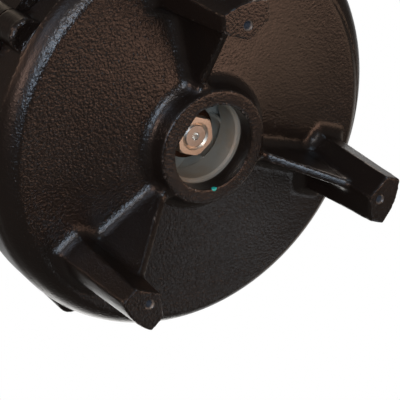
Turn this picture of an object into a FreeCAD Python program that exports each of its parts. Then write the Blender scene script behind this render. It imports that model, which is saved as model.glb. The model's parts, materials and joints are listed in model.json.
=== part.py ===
"""Submersible effluent pump: volute on three legs, closed impeller, oil-filled motor above.

Millimetres. +Z is up, the feet stand on z = 0, the shaft turns about Z, and +X runs over one leg.
Every size is a cell of the sheet "Dims", and every feature is bound to those cells.
"""
import FreeCAD, Part
import math
import os
import Sketcher

V = FreeCAD.Vector

# Sizes, each with its own name. Heights are above the feet.
SIZES = {
    # Legs and ribs
    "leg_count": (3, "legs, ribs and feet"),
    "leg_circle": (97.3, "radius of the circle through the foot holes"),
    "foot_apex": (88.4, "radius of the foot's inner point"),
    "foot_shoulder": (96.6, "radius where the foot's sides begin"),
    "foot_back": (107.6, "radius where the foot's sides end"),
    "foot_half_width": (15.1, "half the foot's width across the radius"),
    "foot_back_arc": (42.0, "radius of the foot's crowned back"),
    "leg_draft": (3.75, "how much the leg grows on every side up to its root"),
    "rib_root_height": (75.0, "height of the rib's root, inside the casting"),
    "leg_root_height": (86.0, "height of the leg's upper section, inside the casting"),
    "leg_flare": (8.0, "how far the legs flare out where they meet the underside"),
    "rib_flare": (6.0, "how far the ribs flare out where they meet the underside"),
    "leg_edge": (1.6, "rounding of the legs' upright edges"),
    "foot_hole": (2.5, "radius of the drilled hole in each foot"),
    "foot_hole_depth": (12.0, "depth of that hole"),
    "rib_inner": (30.0, "radius of the rib's inner section, inside the collar"),
    "rib_outer": (96.0, "radius of the rib's outer section, inside the leg"),
    "rib_inner_crest": (64.2, "height of the rib's crest at its inner section"),
    "rib_outer_crest": (15.0, "height of the rib's crest at its outer section"),
    "rib_crest_half": (2.7, "half the rib's thickness at its crest"),
    "rib_root_half": (6.5, "half the rib's thickness at its root"),
    # Volute casing
    "volute_turn": (-20.0, "degrees that the volute is turned about Z"),
    "volute_radius": (134.0, "outer radius of the volute's main sweep"),
    "tongue_shift": (14.0, "how far the arc by the tongue is drawn in"),
    "growth_shift": (5.0, "how far the arc by the outlet is let out"),
    "tongue_fillet": (14.0, "outer radius of the waist under the tongue"),
    "outlet_distance": (142.0, "distance of the outlet riser along the volute's own x"),
    "outlet_radius": (40.0, "outer radius of the outlet's elbow"),
    "casing_wall": (7.0, "wall of the casing"),
    "casing_rim_height": (70.0, "height of the flat rim of the underside"),
    "casing_edge_radius": (20.0, "rounding between underside and wall"),
    "casing_top": (114.0, "height of the casing's joint face"),
    "cone_outer": (96.0, "radius where the underside's cone ends"),
    "cone_inner": (46.0, "radius where the underside's cone meets the collar's flare"),
    "cone_drop": (5.0, "how far the cone hangs below the rim"),
    "opening_step": (28.0, "how far the opening under the seal plate stays inside the volute's sweep"),
    "opening_wall": (7.0, "thickness of the casting round that opening"),
    # Suction collar
    "collar_face": (51.3, "height of the collar's face"),
    "collar_radius": (37.0, "outer radius of the collar's face"),
    "collar_flare": (1.5, "growth of the collar up to its root"),
    "collar_flare_height": (6.7, "height of the collar's straight flank"),
    "collar_fillet": (7.6, "fillet between the collar and the cone"),
    "collar_edge": (0.8, "rounding of the collar's outer edge"),
    "inlet_radius": (27.4, "radius of the suction inlet"),
    "inlet_land": (12.2, "length of the inlet's narrow bore"),
    # Outlet riser
    "riser_radius": (38.0, "outer radius of the outlet riser"),
    "riser_top": (150.0, "height of the riser's face"),
    "riser_bead": (3.0, "how far the bead round the riser's mouth stands out"),
    "riser_bead_height": (10.0, "height of that bead"),
    "port_radius": (29.3, "radius of the threaded port"),
    "port_depth": (26.0, "depth of the threaded port"),
    "passage_radius": (26.2, "radius of the passage below the port"),
    # Joint between casing, seal plate and motor housing
    "bolt_count": (4, "casing screws"),
    "bolt_inset": (3.0, "distance of the casing screws inside the edge of the flange"),
    "bolt_start": (-44.5, "degrees of the first casing screw"),
    "ear_radius": (10.0, "radius of the bosses and ears round the casing screws"),
    "boss_wall": (1.5, "casting left under the casing screws' threaded holes"),
    "boss_bottom": (92.0, "height of the underside of the casing's bosses"),
    "screw_radius": (4.0, "radius of the casing screws and handle screws"),
    "screw_clearance": (0.5, "play of a screw in its through hole"),
    "thread_play": (0.1, "play of a screw in its threaded hole"),
    "screw_reach": (17.0, "how far the casing screws reach below the joint face"),
    "hex_across_flats": (13.0, "width of the screw heads across their flats"),
    "hex_height": (5.5, "height of the screw heads"),
    "lock_washer_height": (2.0, "height of the lock washers"),
    "lock_washer_radius": (6.4, "outer radius of the lock washers"),
    # Seal plate
    "flange_step": (3.0, "how far the seal plate's and housing's flange stays inside the volute's sweep"),
    "plate_thickness": (12.0, "thickness of the seal plate's flange"),
    "register_play": (0.15, "radial play of a spigot in its register"),
    "spigot_depth": (9.0, "length of the spigot in the casing"),
    "hub_radius": (34.0, "outer radius of the seal plate's bearing hub"),
    "hub_root_radius": (58.0, "radius of the hub's cone at its root"),
    "hub_cone_height": (18.0, "height of the hub's cone"),
    "seal_cavity": (24.0, "radius of the seal's cavity"),
    "seat_bore": (19.5, "radius of the bore for the seal's seat"),
    "relief_radius": (17.0, "radius of the relief under the lower bearing"),
    "shaft_play": (1.0, "radial play of the shaft in the seal plate"),
    "ring_section": (1.1, "radius of the O-rings' section"),
    "ring_groove_play": (0.05, "play of an O-ring in its groove"),
    "casing_ring_drop": (3.8, "distance of the casing's O-ring below the joint face"),
    # Motor housing
    "housing_flange": (12.0, "thickness of the housing's lower flange"),
    "housing_register": (88.0, "radius of the register between plate and housing"),
    "register_height": (6.0, "height of that register"),
    "housing_radius": (93.0, "outer radius of the motor housing at its flange"),
    "housing_draft": (3.0, "how much the housing narrows towards its top"),
    "housing_top": (332.0, "height of the housing's upper joint face"),
    "top_flange_radius": (104.0, "outer radius of the housing's upper flange"),
    "top_flange": (14.0, "thickness of the housing's upper flange"),
    "lower_bore": (84.0, "radius of the housing's bore below the stator"),
    "upper_bore": (76.0, "radius of the housing's bore above the stator"),
    "wiring_bore": (80.0, "radius of the wiring chamber"),
    "wiring_depth": (10.0, "depth of the wiring chamber's floor below the upper joint face"),
    "wiring_wall": (8.0, "wall between the wiring chamber and the motor chamber"),
    "bearing_hub_radius": (27.0, "outer radius of the upper bearing's hub"),
    "bearing_hub_length": (16.5, "length of that hub below the ceiling"),
    "lead_hole": (7.0, "radius of the hole for the motor's leads"),
    "lead_hole_circle": (56.0, "distance of that hole from the axis"),
    "gusset_half": (5.0, "half the thickness of the housing's gussets"),
    "gusset_inset": (13.0, "how far the gussets end inside the flange's edge"),
    "gusset_height": (52.0, "height of the gussets above the flange"),
    # Stator and rotor
    "stator_bottom": (195.0, "height of the stator's lower end"),
    "stator_headroom": (29.0, "room between the stator core and the motor chamber's ceiling"),
    "stator_radius": (79.0, "outer radius of the stator"),
    "stator_bore": (45.0, "radius of the stator's bore"),
    "air_gap": (0.45, "air gap between rotor and stator"),
    "stator_fit": (0.05, "play of the stator in the housing"),
    "winding_reach": (20.0, "how far the windings stand out of the core"),
    "winding_inner": (50.0, "inner radius of the windings' ends"),
    "winding_outer": (71.0, "outer radius of the windings' ends"),
    "winding_rounding": (6.0, "rounding of the windings' ends"),
    "end_ring_inner": (27.0, "inner radius of the rotor's end rings"),
    "end_ring_outer": (42.0, "outer radius of the rotor's end rings"),
    "end_ring_height": (8.0, "height of the rotor's end rings"),
    "fan_blade_count": (8, "fan blades on each end ring"),
    "fan_blade_height": (5.0, "height of the fan blades"),
    "fan_blade_thickness": (3.0, "thickness of the fan blades"),
    # Shaft
    "thread_radius": (8.0, "radius of the shaft's threaded end"),
    "seat_radius": (8.5, "radius of the shaft in the impeller and the upper bearing"),
    "journal_radius": (10.0, "radius of the shaft in the seal and the lower bearing"),
    "rotor_seat_radius": (13.0, "radius of the shaft in the rotor core"),
    "shaft_end_chamfer": (1.1, "chamfer of the threaded end"),
    "centre_drill": (2.6, "radius of the centre drilling"),
    "centre_depth": (4.0, "depth of the centre drilling"),
    # Impeller, nut and washer
    "nut_face": (71.9, "height of the impeller nut's face"),
    "nut_height": (8.0, "height of the impeller nut"),
    "nut_across_flats": (24.0, "width of the impeller nut across its flats"),
    "nut_countersink": (9.2, "radius of the nut's countersink"),
    "washer_height": (2.5, "height of the impeller washer"),
    "washer_radius": (17.0, "outer radius of the impeller washer"),
    "impeller_radius": (88.0, "outer radius of the impeller"),
    "impeller_top": (104.0, "height of the impeller hub's upper end"),
    "impeller_back": (101.0, "height of the back shroud's upper face"),
    "back_shroud": (4.0, "thickness of the back shroud"),
    "hub_sleeve_radius": (16.0, "outer radius of the impeller's hub"),
    "eye_face": (64.8, "height of the eye ring's face"),
    "eye_radius": (25.6, "radius of the impeller's eye"),
    "eye_ring_radius": (29.0, "outer radius of the eye ring"),
    "eye_play": (0.35, "radial play of the eye ring in the casing"),
    "eye_ring_top": (75.0, "height where the eye ring runs into the front shroud"),
    "front_shroud": (3.0, "thickness of the front shroud at its rim"),
    "vane_passage": (12.0, "height of the vane passage at the rim"),
    "vane_count": (6, "impeller vanes"),
    "vane_thickness": (3.2, "thickness of a vane"),
    "vane_arc": (64.0, "radius of a vane's arc"),
    "vane_centre": (40.4, "distance of the vane arc's centre from the axis"),
    "vane_turn": (240.7, "degrees of that centre about Z"),
    "vane_lead": (194.4, "degrees of the leading edge about that centre"),
    "key_width": (5.0, "width of the impeller key"),
    "key_height": (5.0, "height of the impeller key"),
    "key_length": (14.0, "length of the impeller key"),
    "key_play": (0.1, "play of the key in its keyways"),
    # Shaft seal
    "seal_face_height": (4.0, "height of the rotating seal ring"),
    "seal_face_outer": (16.0, "outer radius of the rotating seal ring"),
    "seat_height": (7.0, "height of the fixed seal ring"),
    "seat_outer": (17.0, "outer radius of the fixed seal ring"),
    "seat_plane": (126.0, "height of the seal's running faces"),
    "seal_running_gap": (0.05, "film between the running faces"),
    "seal_bore_play": (0.9, "radial play of the fixed ring round the shaft"),
    "boot_wall": (2.0, "wall of the rotating ring's rubber boot"),
    "boot_head": (4.0, "height of the boot's head"),
    "band_wall": (0.8, "wall of the drive band"),
    "band_height": (7.0, "height of the drive band"),
    "spring_radius": (14.6, "mean radius of the seal spring"),
    "spring_wire": (1.1, "radius of the seal spring's wire"),
    "shaft_fit": (0.02, "play of rings and hubs on the shaft"),
    "spring_turns": (3.5, "turns of the seal spring"),
    # Ball bearings: lower 20 x 47 x 14, upper 17 x 40 x 12
    "lower_bearing_outer": (23.5, "outer radius of the lower bearing"),
    "lower_bearing_width": (14.0, "width of the lower bearing"),
    "lower_bearing_floor": (150.0, "height of the lower bearing's seat"),
    "lower_ball_radius": (3.95, "radius of the lower bearing's balls"),
    "upper_bearing_outer": (20.0, "outer radius of the upper bearing"),
    "upper_bearing_width": (12.0, "width of the upper bearing"),
    "upper_bearing_drop": (15.0, "height of the motor chamber's ceiling above the upper bearing's lower face"),
    "upper_ball_radius": (3.35, "radius of the upper bearing's balls"),
    "race_wall": (3.6, "wall of the bearing rings beside their grooves"),
    "ball_play": (0.12, "play of the balls in their grooves"),
    "ball_count": (8, "balls in each bearing"),
    "cage_half_wall": (0.8, "half the wall of the ball cages"),
    "cage_margin": (1.1, "width of the cage beside its balls"),
    "clip_thickness": (1.5, "thickness of the retaining rings"),
    "clip_depth": (1.4, "depth of the retaining rings' grooves"),
    "clip_width": (3.0, "radial width of the retaining rings"),
    "clip_play": (0.05, "play of a retaining ring in its groove"),
    "clip_gap_half": (4.0, "half the gap between a retaining ring's ends"),
    "preload_height": (1.8, "height of the preload washer"),
    "preload_wall": (0.8, "thickness of the preload washer"),
    # Slots
    "slot_count": (24, "slots of the stator"),
    "slot_bottom": (66.0, "radius of the slots' bottom"),
    "slot_half": (3.2, "half the width of a slot"),
    # Top cover
    "cover_flange": (10.0, "thickness of the cover's flange"),
    "cover_radius": (88.0, "outer radius of the cover at its flange"),
    "cover_draft": (5.0, "how much the cover narrows towards its top"),
    "cover_rise": (68.0, "height of the cover's top above the housing's upper joint face"),
    "cover_wall": (8.0, "wall of the cover"),
    "cover_edge_radius": (14.0, "rounding of the cover's upper edge"),
    "gasket_height": (1.0, "thickness of the cover's gasket"),
    "cover_screw_circle": (97.0, "radius of the circle of cover screws"),
    "cover_screw_start": (45.0, "degrees of the first cover screw"),
    "cover_screw_count": (4, "cover screws"),
    "cover_screw_radius": (3.0, "radius of the cover screws"),
    "cover_screw_reach": (12.0, "how far the cover screws reach into the housing"),
    "cover_hex": (10.0, "width of the cover screws' heads across their flats"),
    "cover_hex_height": (4.0, "height of the cover screws' heads"),
    "cover_lug_radius": (9.0, "radius of the lugs round the cover screws"),
    # Handle
    "handle_pad_radius": (16.0, "radius of the pads under the handle"),
    "handle_pad_height": (4.0, "height of those pads"),
    "handle_span": (58.0, "distance of the handle's screws from the axis"),
    "handle_height": (54.0, "height of the handle above its pads"),
    "handle_thickness": (6.0, "thickness of the handle's strap"),
    "handle_half_width": (13.0, "half the width of the handle's strap"),
    "handle_foot": (16.0, "distance from the handle's screws in to its legs"),
    "handle_bend": (14.0, "outer radius of the handle's upper bends"),
    "handle_foot_bend": (5.0, "radius of the bends above the handle's feet"),
    "handle_foot_end": (14.0, "how far a foot runs past its screw"),
    "handle_screw_reach": (11.0, "how far the handle screws reach into the cover"),
    "handle_boss_drop": (6.0, "depth of the bosses inside the cover under the pads"),
    # Cable entry
    "entry_distance": (47.0, "distance of the cable entry from the axis"),
    "entry_boss_radius": (19.0, "radius of the cable entry's boss"),
    "entry_boss_height": (8.0, "height of that boss"),
    "gland_thread": (12.5, "radius of the gland's threads"),
    "gland_hex": (32.0, "width of the gland's hexagons across their flats"),
    "gland_hex_height": (6.0, "height of the gland body's hexagon"),
    "gland_neck": (10.0, "height of the gland body's upper thread"),
    "gland_nut_height": (15.0, "height of the gland nut"),
    "gland_nut_bore": (6.5, "radius of the gland nut's mouth"),
    "grommet_radius": (9.0, "outer radius of the gland's grommet"),
    "grommet_bore": (4.6, "radius of the grommet's bore"),
    # Oil plug
    "plug_distance": (56.0, "distance of the oil plug from the axis"),
    "plug_boss_radius": (15.0, "radius of the oil plug's boss"),
    "plug_boss_height": (5.0, "height of that boss"),
    "plug_thread": (6.5, "radius of the oil plug's thread"),
    "plug_head_radius": (10.5, "radius of the oil plug's collar"),
    "plug_collar": (3.0, "height of the oil plug's collar"),
    "plug_hex": (13.0, "width of the oil plug's hexagon"),
    "plug_hex_height": (6.0, "height of the oil plug's hexagon"),
    "plug_washer_height": (1.5, "thickness of the oil plug's sealing washer"),
    "plug_reach": (10.0, "how far the oil plug's thread reaches down"),
    # Wiring chamber
    "capacitor_distance": (36.0, "distance of the capacitor from the axis"),
    "capacitor_radius": (18.0, "radius of the capacitor"),
    "capacitor_height": (58.0, "height of the capacitor"),
    "capacitor_rim": (1.5, "rounding of the capacitor's ends"),
    "clamp_wall": (1.2, "thickness of the capacitor's clamp"),
    "clamp_play": (0.2, "play of the clamp round the capacitor"),
    "clamp_height": (12.0, "height of the clamp's band"),
    "clamp_lift": (20.0, "height of the clamp's band above the floor"),
    "clamp_foot": (16.0, "length of the clamp's foot"),
    "clamp_half_width": (6.0, "half the width of the clamp's foot"),
    "clamp_screw_radius": (2.0, "radius of the clamp's screw"),
    "clamp_screw_head": (3.8, "radius of the clamp screw's head"),
    "clamp_screw_height": (2.6, "height of the clamp screw's head"),
    "clamp_screw_reach": (6.0, "how far the clamp's screw reaches down"),
    "block_distance": (44.0, "distance of the terminal block from the axis"),
    "block_half_length": (22.0, "half the length of the terminal block"),
    "block_half_width": (8.0, "half the width of the terminal block"),
    "block_height": (14.0, "height of the terminal block"),
    "block_step": (5.0, "height of the terminal block's step"),
    "terminal_pitch": (13.0, "distance between terminal screws"),
    "terminal_radius": (1.9, "radius of the terminal screws"),
    "terminal_head": (3.4, "radius of the terminal screws' heads"),
    "terminal_head_height": (2.2, "height of the terminal screws' heads"),
    "terminal_reach": (7.0, "depth of the terminal screws"),
}

doc = FreeCAD.newDocument("SubmersiblePump")
sheet = doc.addObject("Spreadsheet::Sheet", "Dims")
for row, (size_name, (number, note)) in enumerate(SIZES.items(), start=1):
    sheet.set(f"A{row}", size_name)
    sheet.set(f"B{row}", str(number))
    sheet.set(f"C{row}", note)
    sheet.setAlias(f"B{row}", size_name)
doc.recompute()


class Size:
    """A number together with the sheet expression that it comes from."""

    def __init__(self, value, text):
        self.value = float(value)
        self.text = text

    def __add__(self, other):
        other = as_size(other)
        return Size(self.value + other.value, f"({self.text} + {other.text})")

    def __sub__(self, other):
        other = as_size(other)
        return Size(self.value - other.value, f"({self.text} - {other.text})")

    def __mul__(self, other):
        other = as_size(other)
        return Size(self.value * other.value, f"({self.text} * {other.text})")

    def __truediv__(self, other):
        other = as_size(other)
        return Size(self.value / other.value, f"({self.text} / {other.text})")

    def __radd__(self, other):
        return as_size(other) + self

    def __rsub__(self, other):
        return as_size(other) - self

    def __rmul__(self, other):
        return as_size(other) * self

    def __neg__(self):
        return Size(-self.value, f"(-1 * {self.text})")


def as_size(number):
    """The number as a Size."""
    return number if isinstance(number, Size) else Size(number, repr(float(number)))


def root(size):
    """Square root."""
    return Size(math.sqrt(size.value), f"sqrt({size.text})")


def cosine(size):
    """Cosine of an angle in degrees."""
    size = as_size(size)
    return Size(math.cos(math.radians(size.value)), f"cos({size.text})")


def sine(size):
    """Sine of an angle in degrees."""
    size = as_size(size)
    return Size(math.sin(math.radians(size.value)), f"sin({size.text})")


def arc_cosine(size):
    """Angle in degrees that has this cosine."""
    return Size(math.degrees(math.acos(size.value)), f"(acos({size.text}) / 1deg)")


def arc_tangent(rise, run):
    """Angle in degrees of the slope rise over run."""
    return Size(math.degrees(math.atan2(rise.value, run.value)), f"(atan2({rise.text}; {run.text}) / 1deg)")


class Sheet:
    """Reads the sheet's sizes by name."""

    def __getattr__(self, name):
        return Size(sheet.get(name), f"Dims.{name}")


d = Sheet()
# Sizes that follow from others, so that pieces which meet keep together
d.flange_radius = d.volute_radius - d.flange_step
d.bolt_circle = d.flange_radius - d.bolt_inset
d.gusset_reach = d.flange_radius - d.gusset_inset
d.cover_opening = d.volute_radius - d.opening_step
d.wiring_floor = d.housing_top - d.wiring_depth
d.motor_ceiling = d.wiring_floor - d.wiring_wall
d.upper_bearing_floor = d.motor_ceiling - d.upper_bearing_drop
d.stator_length = d.motor_ceiling - d.stator_headroom - d.stator_bottom
d.cover_top = d.housing_top + d.cover_rise
d.handle_leg = d.handle_span - d.handle_foot


def bind(thing, prop, size):
    """Binds one property to a size."""
    thing.setExpression(prop, as_size(size).text)


class Outline:
    """A closed chain of lines and arcs in a sketch, each corner pinned to its own sizes."""

    def __init__(self, sketch):
        self.sketch = sketch
        self.first = sketch.GeometryCount
        self.corners = []
        self.steps = []

    def start(self, x, y):
        self.corners.append((as_size(x), as_size(y)))
        return self

    def line(self, x, y):
        """A straight edge to (x, y)."""
        self.steps.append(None)
        return self.start(x, y)

    def arc(self, x, y, radius):
        """An arc to (x, y), under a half turn: to the left for a positive radius, else to the right."""
        self.steps.append(as_size(radius))
        return self.start(x, y)

    def close(self, radius=None):
        """Back to the first corner, straight or by an arc."""
        self.steps.append(None if radius is None else as_size(radius))
        count = len(self.corners)
        for i in range(count):
            a, b = self.corners[i], self.corners[(i + 1) % count]
            self.sketch.addGeometry(edge_between(a, b, self.steps[i]), False)
        ends = [self.ends(i) for i in range(count)]
        for i in range(count):
            nxt = (i + 1) % count
            self.sketch.addConstraint(Sketcher.Constraint(
                "Coincident", self.first + i, ends[i][1], self.first + nxt, ends[nxt][0]))
        for i, (x, y) in enumerate(self.corners):
            pin(self.sketch, self.first + i, ends[i][0], x, y)
            if self.steps[i] is not None:
                reach = self.steps[i] if self.steps[i].value > 0 else -self.steps[i]
                index = self.sketch.addConstraint(Sketcher.Constraint("Radius", self.first + i, reach.value))
                self.sketch.setExpression(f"Constraints[{index}]", reach.text)
        return self.sketch

    def ends(self, i):
        """Which end of edge i is its start and which its end: an arc that turns right runs backwards."""
        turns_right = self.steps[i] is not None and self.steps[i].value < 0
        return (2, 1) if turns_right else (1, 2)


def edge_between(a, b, radius):
    """The line or arc from corner a to corner b."""
    p = V(a[0].value, a[1].value, 0)
    q = V(b[0].value, b[1].value, 0)
    if radius is None:
        return Part.LineSegment(p, q)
    reach = abs(radius.value)
    chord = q - p
    left = V(-chord.y, chord.x, 0).normalize()
    side = 1 if radius.value > 0 else -1
    middle = (p + q) * 0.5
    centre = middle + left * side * math.sqrt(max(reach ** 2 - (chord.Length / 2) ** 2, 0))
    crown = centre + (middle - centre).normalize() * reach
    if (middle - centre).Length < 1e-6:
        crown = centre - left * side * reach
    return Part.Arc(p, crown, q)


def pin(sketch, geometry, end, x, y):
    """Fixes one end of an edge at (x, y)."""
    for kind, axis, size in (("DistanceX", -2, x), ("DistanceY", -1, y)):
        if size.text == repr(0.0):
            sketch.addConstraint(Sketcher.Constraint("PointOnObject", geometry, end, axis))
        else:
            index = sketch.addConstraint(Sketcher.Constraint(kind, -1, 1, geometry, end, size.value))
            sketch.setExpression(f"Constraints[{index}]", size.text)


class Piece:
    """One sub-part: a body whose features are bound to the sheet."""

    def __init__(self, name):
        self.body = doc.addObject("PartDesign::Body", name)
        self.body.Label = name
        self.body.AllowCompound = True
        self.name = name
        self.count = 0
        PIECES.append(self.body)

    def feature(self, kind, word):
        self.count += 1
        return self.body.newObject(kind, f"{self.name}_{word}_{self.count}")

    def origin(self, role):
        return [part for part in self.body.Origin.OriginFeatures if part.Role == role][0]

    def sketch(self, role, lift=0, turn=0):
        """A sketch on an origin plane, lifted along its normal and turned about Z."""
        sketch = self.feature("Sketcher::SketchObject", "sketch")
        sketch.AttachmentSupport = [(self.origin(role), "")]
        sketch.MapMode = "FlatFace"
        lift, turn = as_size(lift), as_size(turn)
        axis = V(0, 0, 1) if role == "XY_Plane" else V(0, 1, 0)
        sketch.AttachmentOffset = FreeCAD.Placement(V(0, 0, lift.value), FreeCAD.Rotation(axis, turn.value))
        bind(sketch, "AttachmentOffset.Base.z", lift)
        if turn.value:
            bind(sketch, "AttachmentOffset.Rotation.Angle", turn)
        return sketch

    def outline(self, role, lift=0, turn=0):
        return Outline(self.sketch(role, lift, turn))

    def ring(self, role, radius, x=0, y=0, lift=0, turn=0, hole=None):
        """A sketch of one circle, or of two that share their centre."""
        sketch = self.sketch(role, lift, turn)
        add_circle(sketch, radius, x, y)
        if hole is not None:
            add_circle(sketch, hole, x, y)
        return sketch

    def pad(self, sketch, length, down=False):
        pad = self.feature("PartDesign::Pad", "pad")
        pad.Profile = sketch
        pad.Length = as_size(length).value
        bind(pad, "Length", length)
        pad.Reversed = down
        return self.done(pad)

    def pocket(self, sketch, length, up=False):
        """Cuts below the sketch, or above it."""
        pocket = self.feature("PartDesign::Pocket", "pocket")
        pocket.Profile = sketch
        pocket.Length = as_size(length).value
        bind(pocket, "Length", length)
        pocket.Reversed = up
        return self.done(pocket)

    def revolve(self, sketch, cut=False, axis="V_Axis"):
        """Turns a profile about the sketch's own upright axis, or about its first construction line."""
        kind = "PartDesign::Groove" if cut else "PartDesign::Revolution"
        turned = self.feature(kind, "groove" if cut else "revolution")
        turned.Profile = sketch
        turned.ReferenceAxis = (sketch, [axis])
        turned.Angle = 360
        return self.done(turned)

    def loft(self, sections):
        loft = self.feature("PartDesign::AdditiveLoft", "loft")
        loft.Profile = sections[0]
        loft.Sections = sections[1:]
        loft.Ruled = True
        return self.done(loft)

    def polar(self, features, count):
        """Repeats features round Z."""
        pattern = self.feature("PartDesign::PolarPattern", "pattern")
        pattern.Originals = features
        pattern.Axis = (self.origin("Z_Axis"), [""])
        pattern.Angle = 360
        pattern.Occurrences = int(as_size(count).value)
        bind(pattern, "Occurrences", count)
        self.body.Tip = pattern
        doc.recompute()
        return pattern

    def edge_names(self, test):
        """Names of the edges of the piece so far for which the test holds."""
        shape = self.body.Tip.Shape
        return [f"Edge{i}" for i, edge in enumerate(shape.Edges, start=1) if test(edge)]

    def fillet(self, test, radius):
        names = self.edge_names(test)
        if not names:
            raise RuntimeError(f"{self.name}: no edge to round")
        base = self.body.Tip
        fillet = self.feature("PartDesign::Fillet", "fillet")
        fillet.Base = (base, names)
        fillet.Radius = as_size(radius).value
        bind(fillet, "Radius", radius)
        return self.done(fillet)

    def chamfer(self, test, size):
        names = self.edge_names(test)
        if not names:
            raise RuntimeError(f"{self.name}: no edge to chamfer")
        base = self.body.Tip
        chamfer = self.feature("PartDesign::Chamfer", "chamfer")
        chamfer.Base = (base, names)
        chamfer.Size = as_size(size).value
        bind(chamfer, "Size", size)
        return self.done(chamfer)

    def done(self, feature):
        doc.recompute()
        if "Invalid" in feature.State or "Error" in feature.State or feature.Shape.isNull():
            raise RuntimeError(f"{feature.Name} failed: {feature.State} {feature.getStatusString()}")
        return feature


PIECES = []
TERMINALS = 3


def add_circle(sketch, radius, x=0, y=0):
    """A circle with its centre at (x, y)."""
    radius, x, y = as_size(radius), as_size(x), as_size(y)
    index = sketch.addGeometry(Part.Circle(V(x.value, y.value, 0), V(0, 0, 1), radius.value), False)
    bound = sketch.addConstraint(Sketcher.Constraint("Radius", index, radius.value))
    sketch.setExpression(f"Constraints[{bound}]", radius.text)
    pin(sketch, index, 3, x, y)


def add_axis(sketch, x):
    """An upright construction line at x, to turn a profile about."""
    x = as_size(x)
    index = sketch.addGeometry(Part.LineSegment(V(x.value, 0, 0), V(x.value, 10, 0)), True)
    pin(sketch, index, 1, x, as_size(0))
    pin(sketch, index, 2, x, as_size(10))


def box_outline(piece, role, left, right, low, high, lift=0, turn=0):
    """A rectangle from (left, low) to (right, high)."""
    return piece.outline(role, lift, turn).start(left, low).line(right, low).line(right, high).line(left, high).close()


def ring_profile(piece, inner, outer, low, high):
    """A rectangular ring about Z."""
    return piece.revolve(box_outline(piece, "XZ_Plane", inner, outer, low, high))


def hexagon(piece, across_flats, lift, x=0, turn=0):
    """A hexagon with its centre at (x, 0) of the turned plane and its corners across X."""
    corner = across_flats / root(as_size(3))
    outline = piece.outline("XY_Plane", lift, turn)
    places = [(x + corner * cosine(60 * i), corner * sine(60 * i)) for i in range(6)]
    outline.start(x + corner, 0)
    outline.line(*places[1]).line(*places[2]).line(x - corner, 0).line(*places[4]).line(*places[5])
    return outline.close()


def volute_outline(piece, inset, lift):
    """The volute's outline in its own turned plane, drawn in by the wall where it bounds the chamber."""
    inset = as_size(inset)
    crown = d.volute_radius + d.growth_shift
    low = crown - 2 * d.outlet_radius
    sweep = d.volute_radius - d.tongue_shift
    reach = sweep + d.tongue_fillet
    rise = low - d.tongue_fillet + d.tongue_shift
    waist = root(reach * reach - rise * rise)
    near = (sweep - inset) / reach
    end = d.outlet_radius - inset
    outline = piece.outline("XY_Plane", lift, d.volute_turn)
    outline.start(0, inset - d.volute_radius)
    outline.arc(sweep - inset, -d.tongue_shift, sweep - inset)
    outline.arc(waist * near, rise * near - d.tongue_shift, sweep - inset)
    outline.arc(waist, low + inset, -(d.tongue_fillet + inset))
    outline.line(d.outlet_distance, low + inset)
    outline.arc(d.outlet_distance + end, crown - d.outlet_radius, end)
    outline.arc(d.outlet_distance, crown - inset, end)
    outline.line(d.growth_shift, crown - inset)
    outline.arc(inset - d.volute_radius, 0, crown - inset)
    return outline.close(d.volute_radius - inset)


def leg_section(piece, lift, flare=0):
    """The leg's five-sided section at one height, point inward, grown by the draft and the flare."""
    draft = d.leg_draft * as_size(lift) / d.leg_root_height
    grow = draft + flare
    back = d.foot_back + draft + flare * 0.3
    run = d.foot_shoulder - d.foot_apex
    slant = root(run * run + d.foot_half_width * d.foot_half_width)
    half = d.foot_half_width + grow
    apex = d.foot_apex - grow * slant / d.foot_half_width
    shoulder = apex + half * run / d.foot_half_width
    outline = piece.outline("XY_Plane", lift)
    outline.start(apex, 0).line(shoulder, -half).line(back, -half)
    outline.arc(back, half, d.foot_back_arc + grow).line(shoulder, half)
    return outline.close()


def make_leg(piece):
    """One leg, flared out in steps that follow a fillet where it meets the underside."""
    rim = d.casing_rim_height
    steps = [(1.0, 0.0), (0.55, 0.12), (0.22, 0.4), (0.05, 0.72), (-0.04, 1.0)]
    sections = [leg_section(piece, 0)]
    sections += [leg_section(piece, rim - d.leg_flare * drop, d.leg_flare * out) for drop, out in steps]
    sections.append(leg_section(piece, d.leg_root_height - 2, d.leg_flare))
    return piece.loft(sections)


def rib_section(piece, distance, crest):
    """The rib's section across its run at one distance from the axis."""
    outline = piece.outline("YZ_Plane", distance)
    outline.start(-d.rib_crest_half, crest).line(d.rib_crest_half, crest)
    outline.line(d.rib_root_half, d.rib_root_height).line(-d.rib_root_half, d.rib_root_height)
    return outline.close()


def rib_foot(piece, distance, ceiling, half):
    """The flared root of the rib under the cone at one distance from the axis."""
    steps = [(1.0, 0.0), (0.55, 0.12), (0.22, 0.4), (0.05, 0.72), (-0.25, 1.0)]
    places = [(half + d.rib_flare * out, ceiling - d.rib_flare * drop) for drop, out in steps]
    outline = piece.outline("YZ_Plane", distance)
    outline.start(-half, places[0][1])
    for across, height in places:
        outline.line(across, height)
    for across, height in places[:0:-1]:
        outline.line(-across, height)
    return outline.close()


def make_rib(piece):
    """One rib from the collar down to its leg, with its flared root."""
    wedge = piece.loft([rib_section(piece, d.rib_inner, d.rib_inner_crest),
                        rib_section(piece, d.rib_outer, d.rib_outer_crest)])
    slope = d.cone_drop / (d.cone_outer - d.cone_inner)
    inner = d.cone_inner - 3
    outer = d.foot_apex + 2
    foot = piece.loft([
        rib_foot(piece, inner, d.casing_rim_height - d.cone_drop - 3 * slope, d.rib_crest_half + 0.7),
        rib_foot(piece, outer, d.casing_rim_height - (d.cone_outer - outer) * slope, d.rib_root_half - 0.8)])
    return [wedge, foot]


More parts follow.
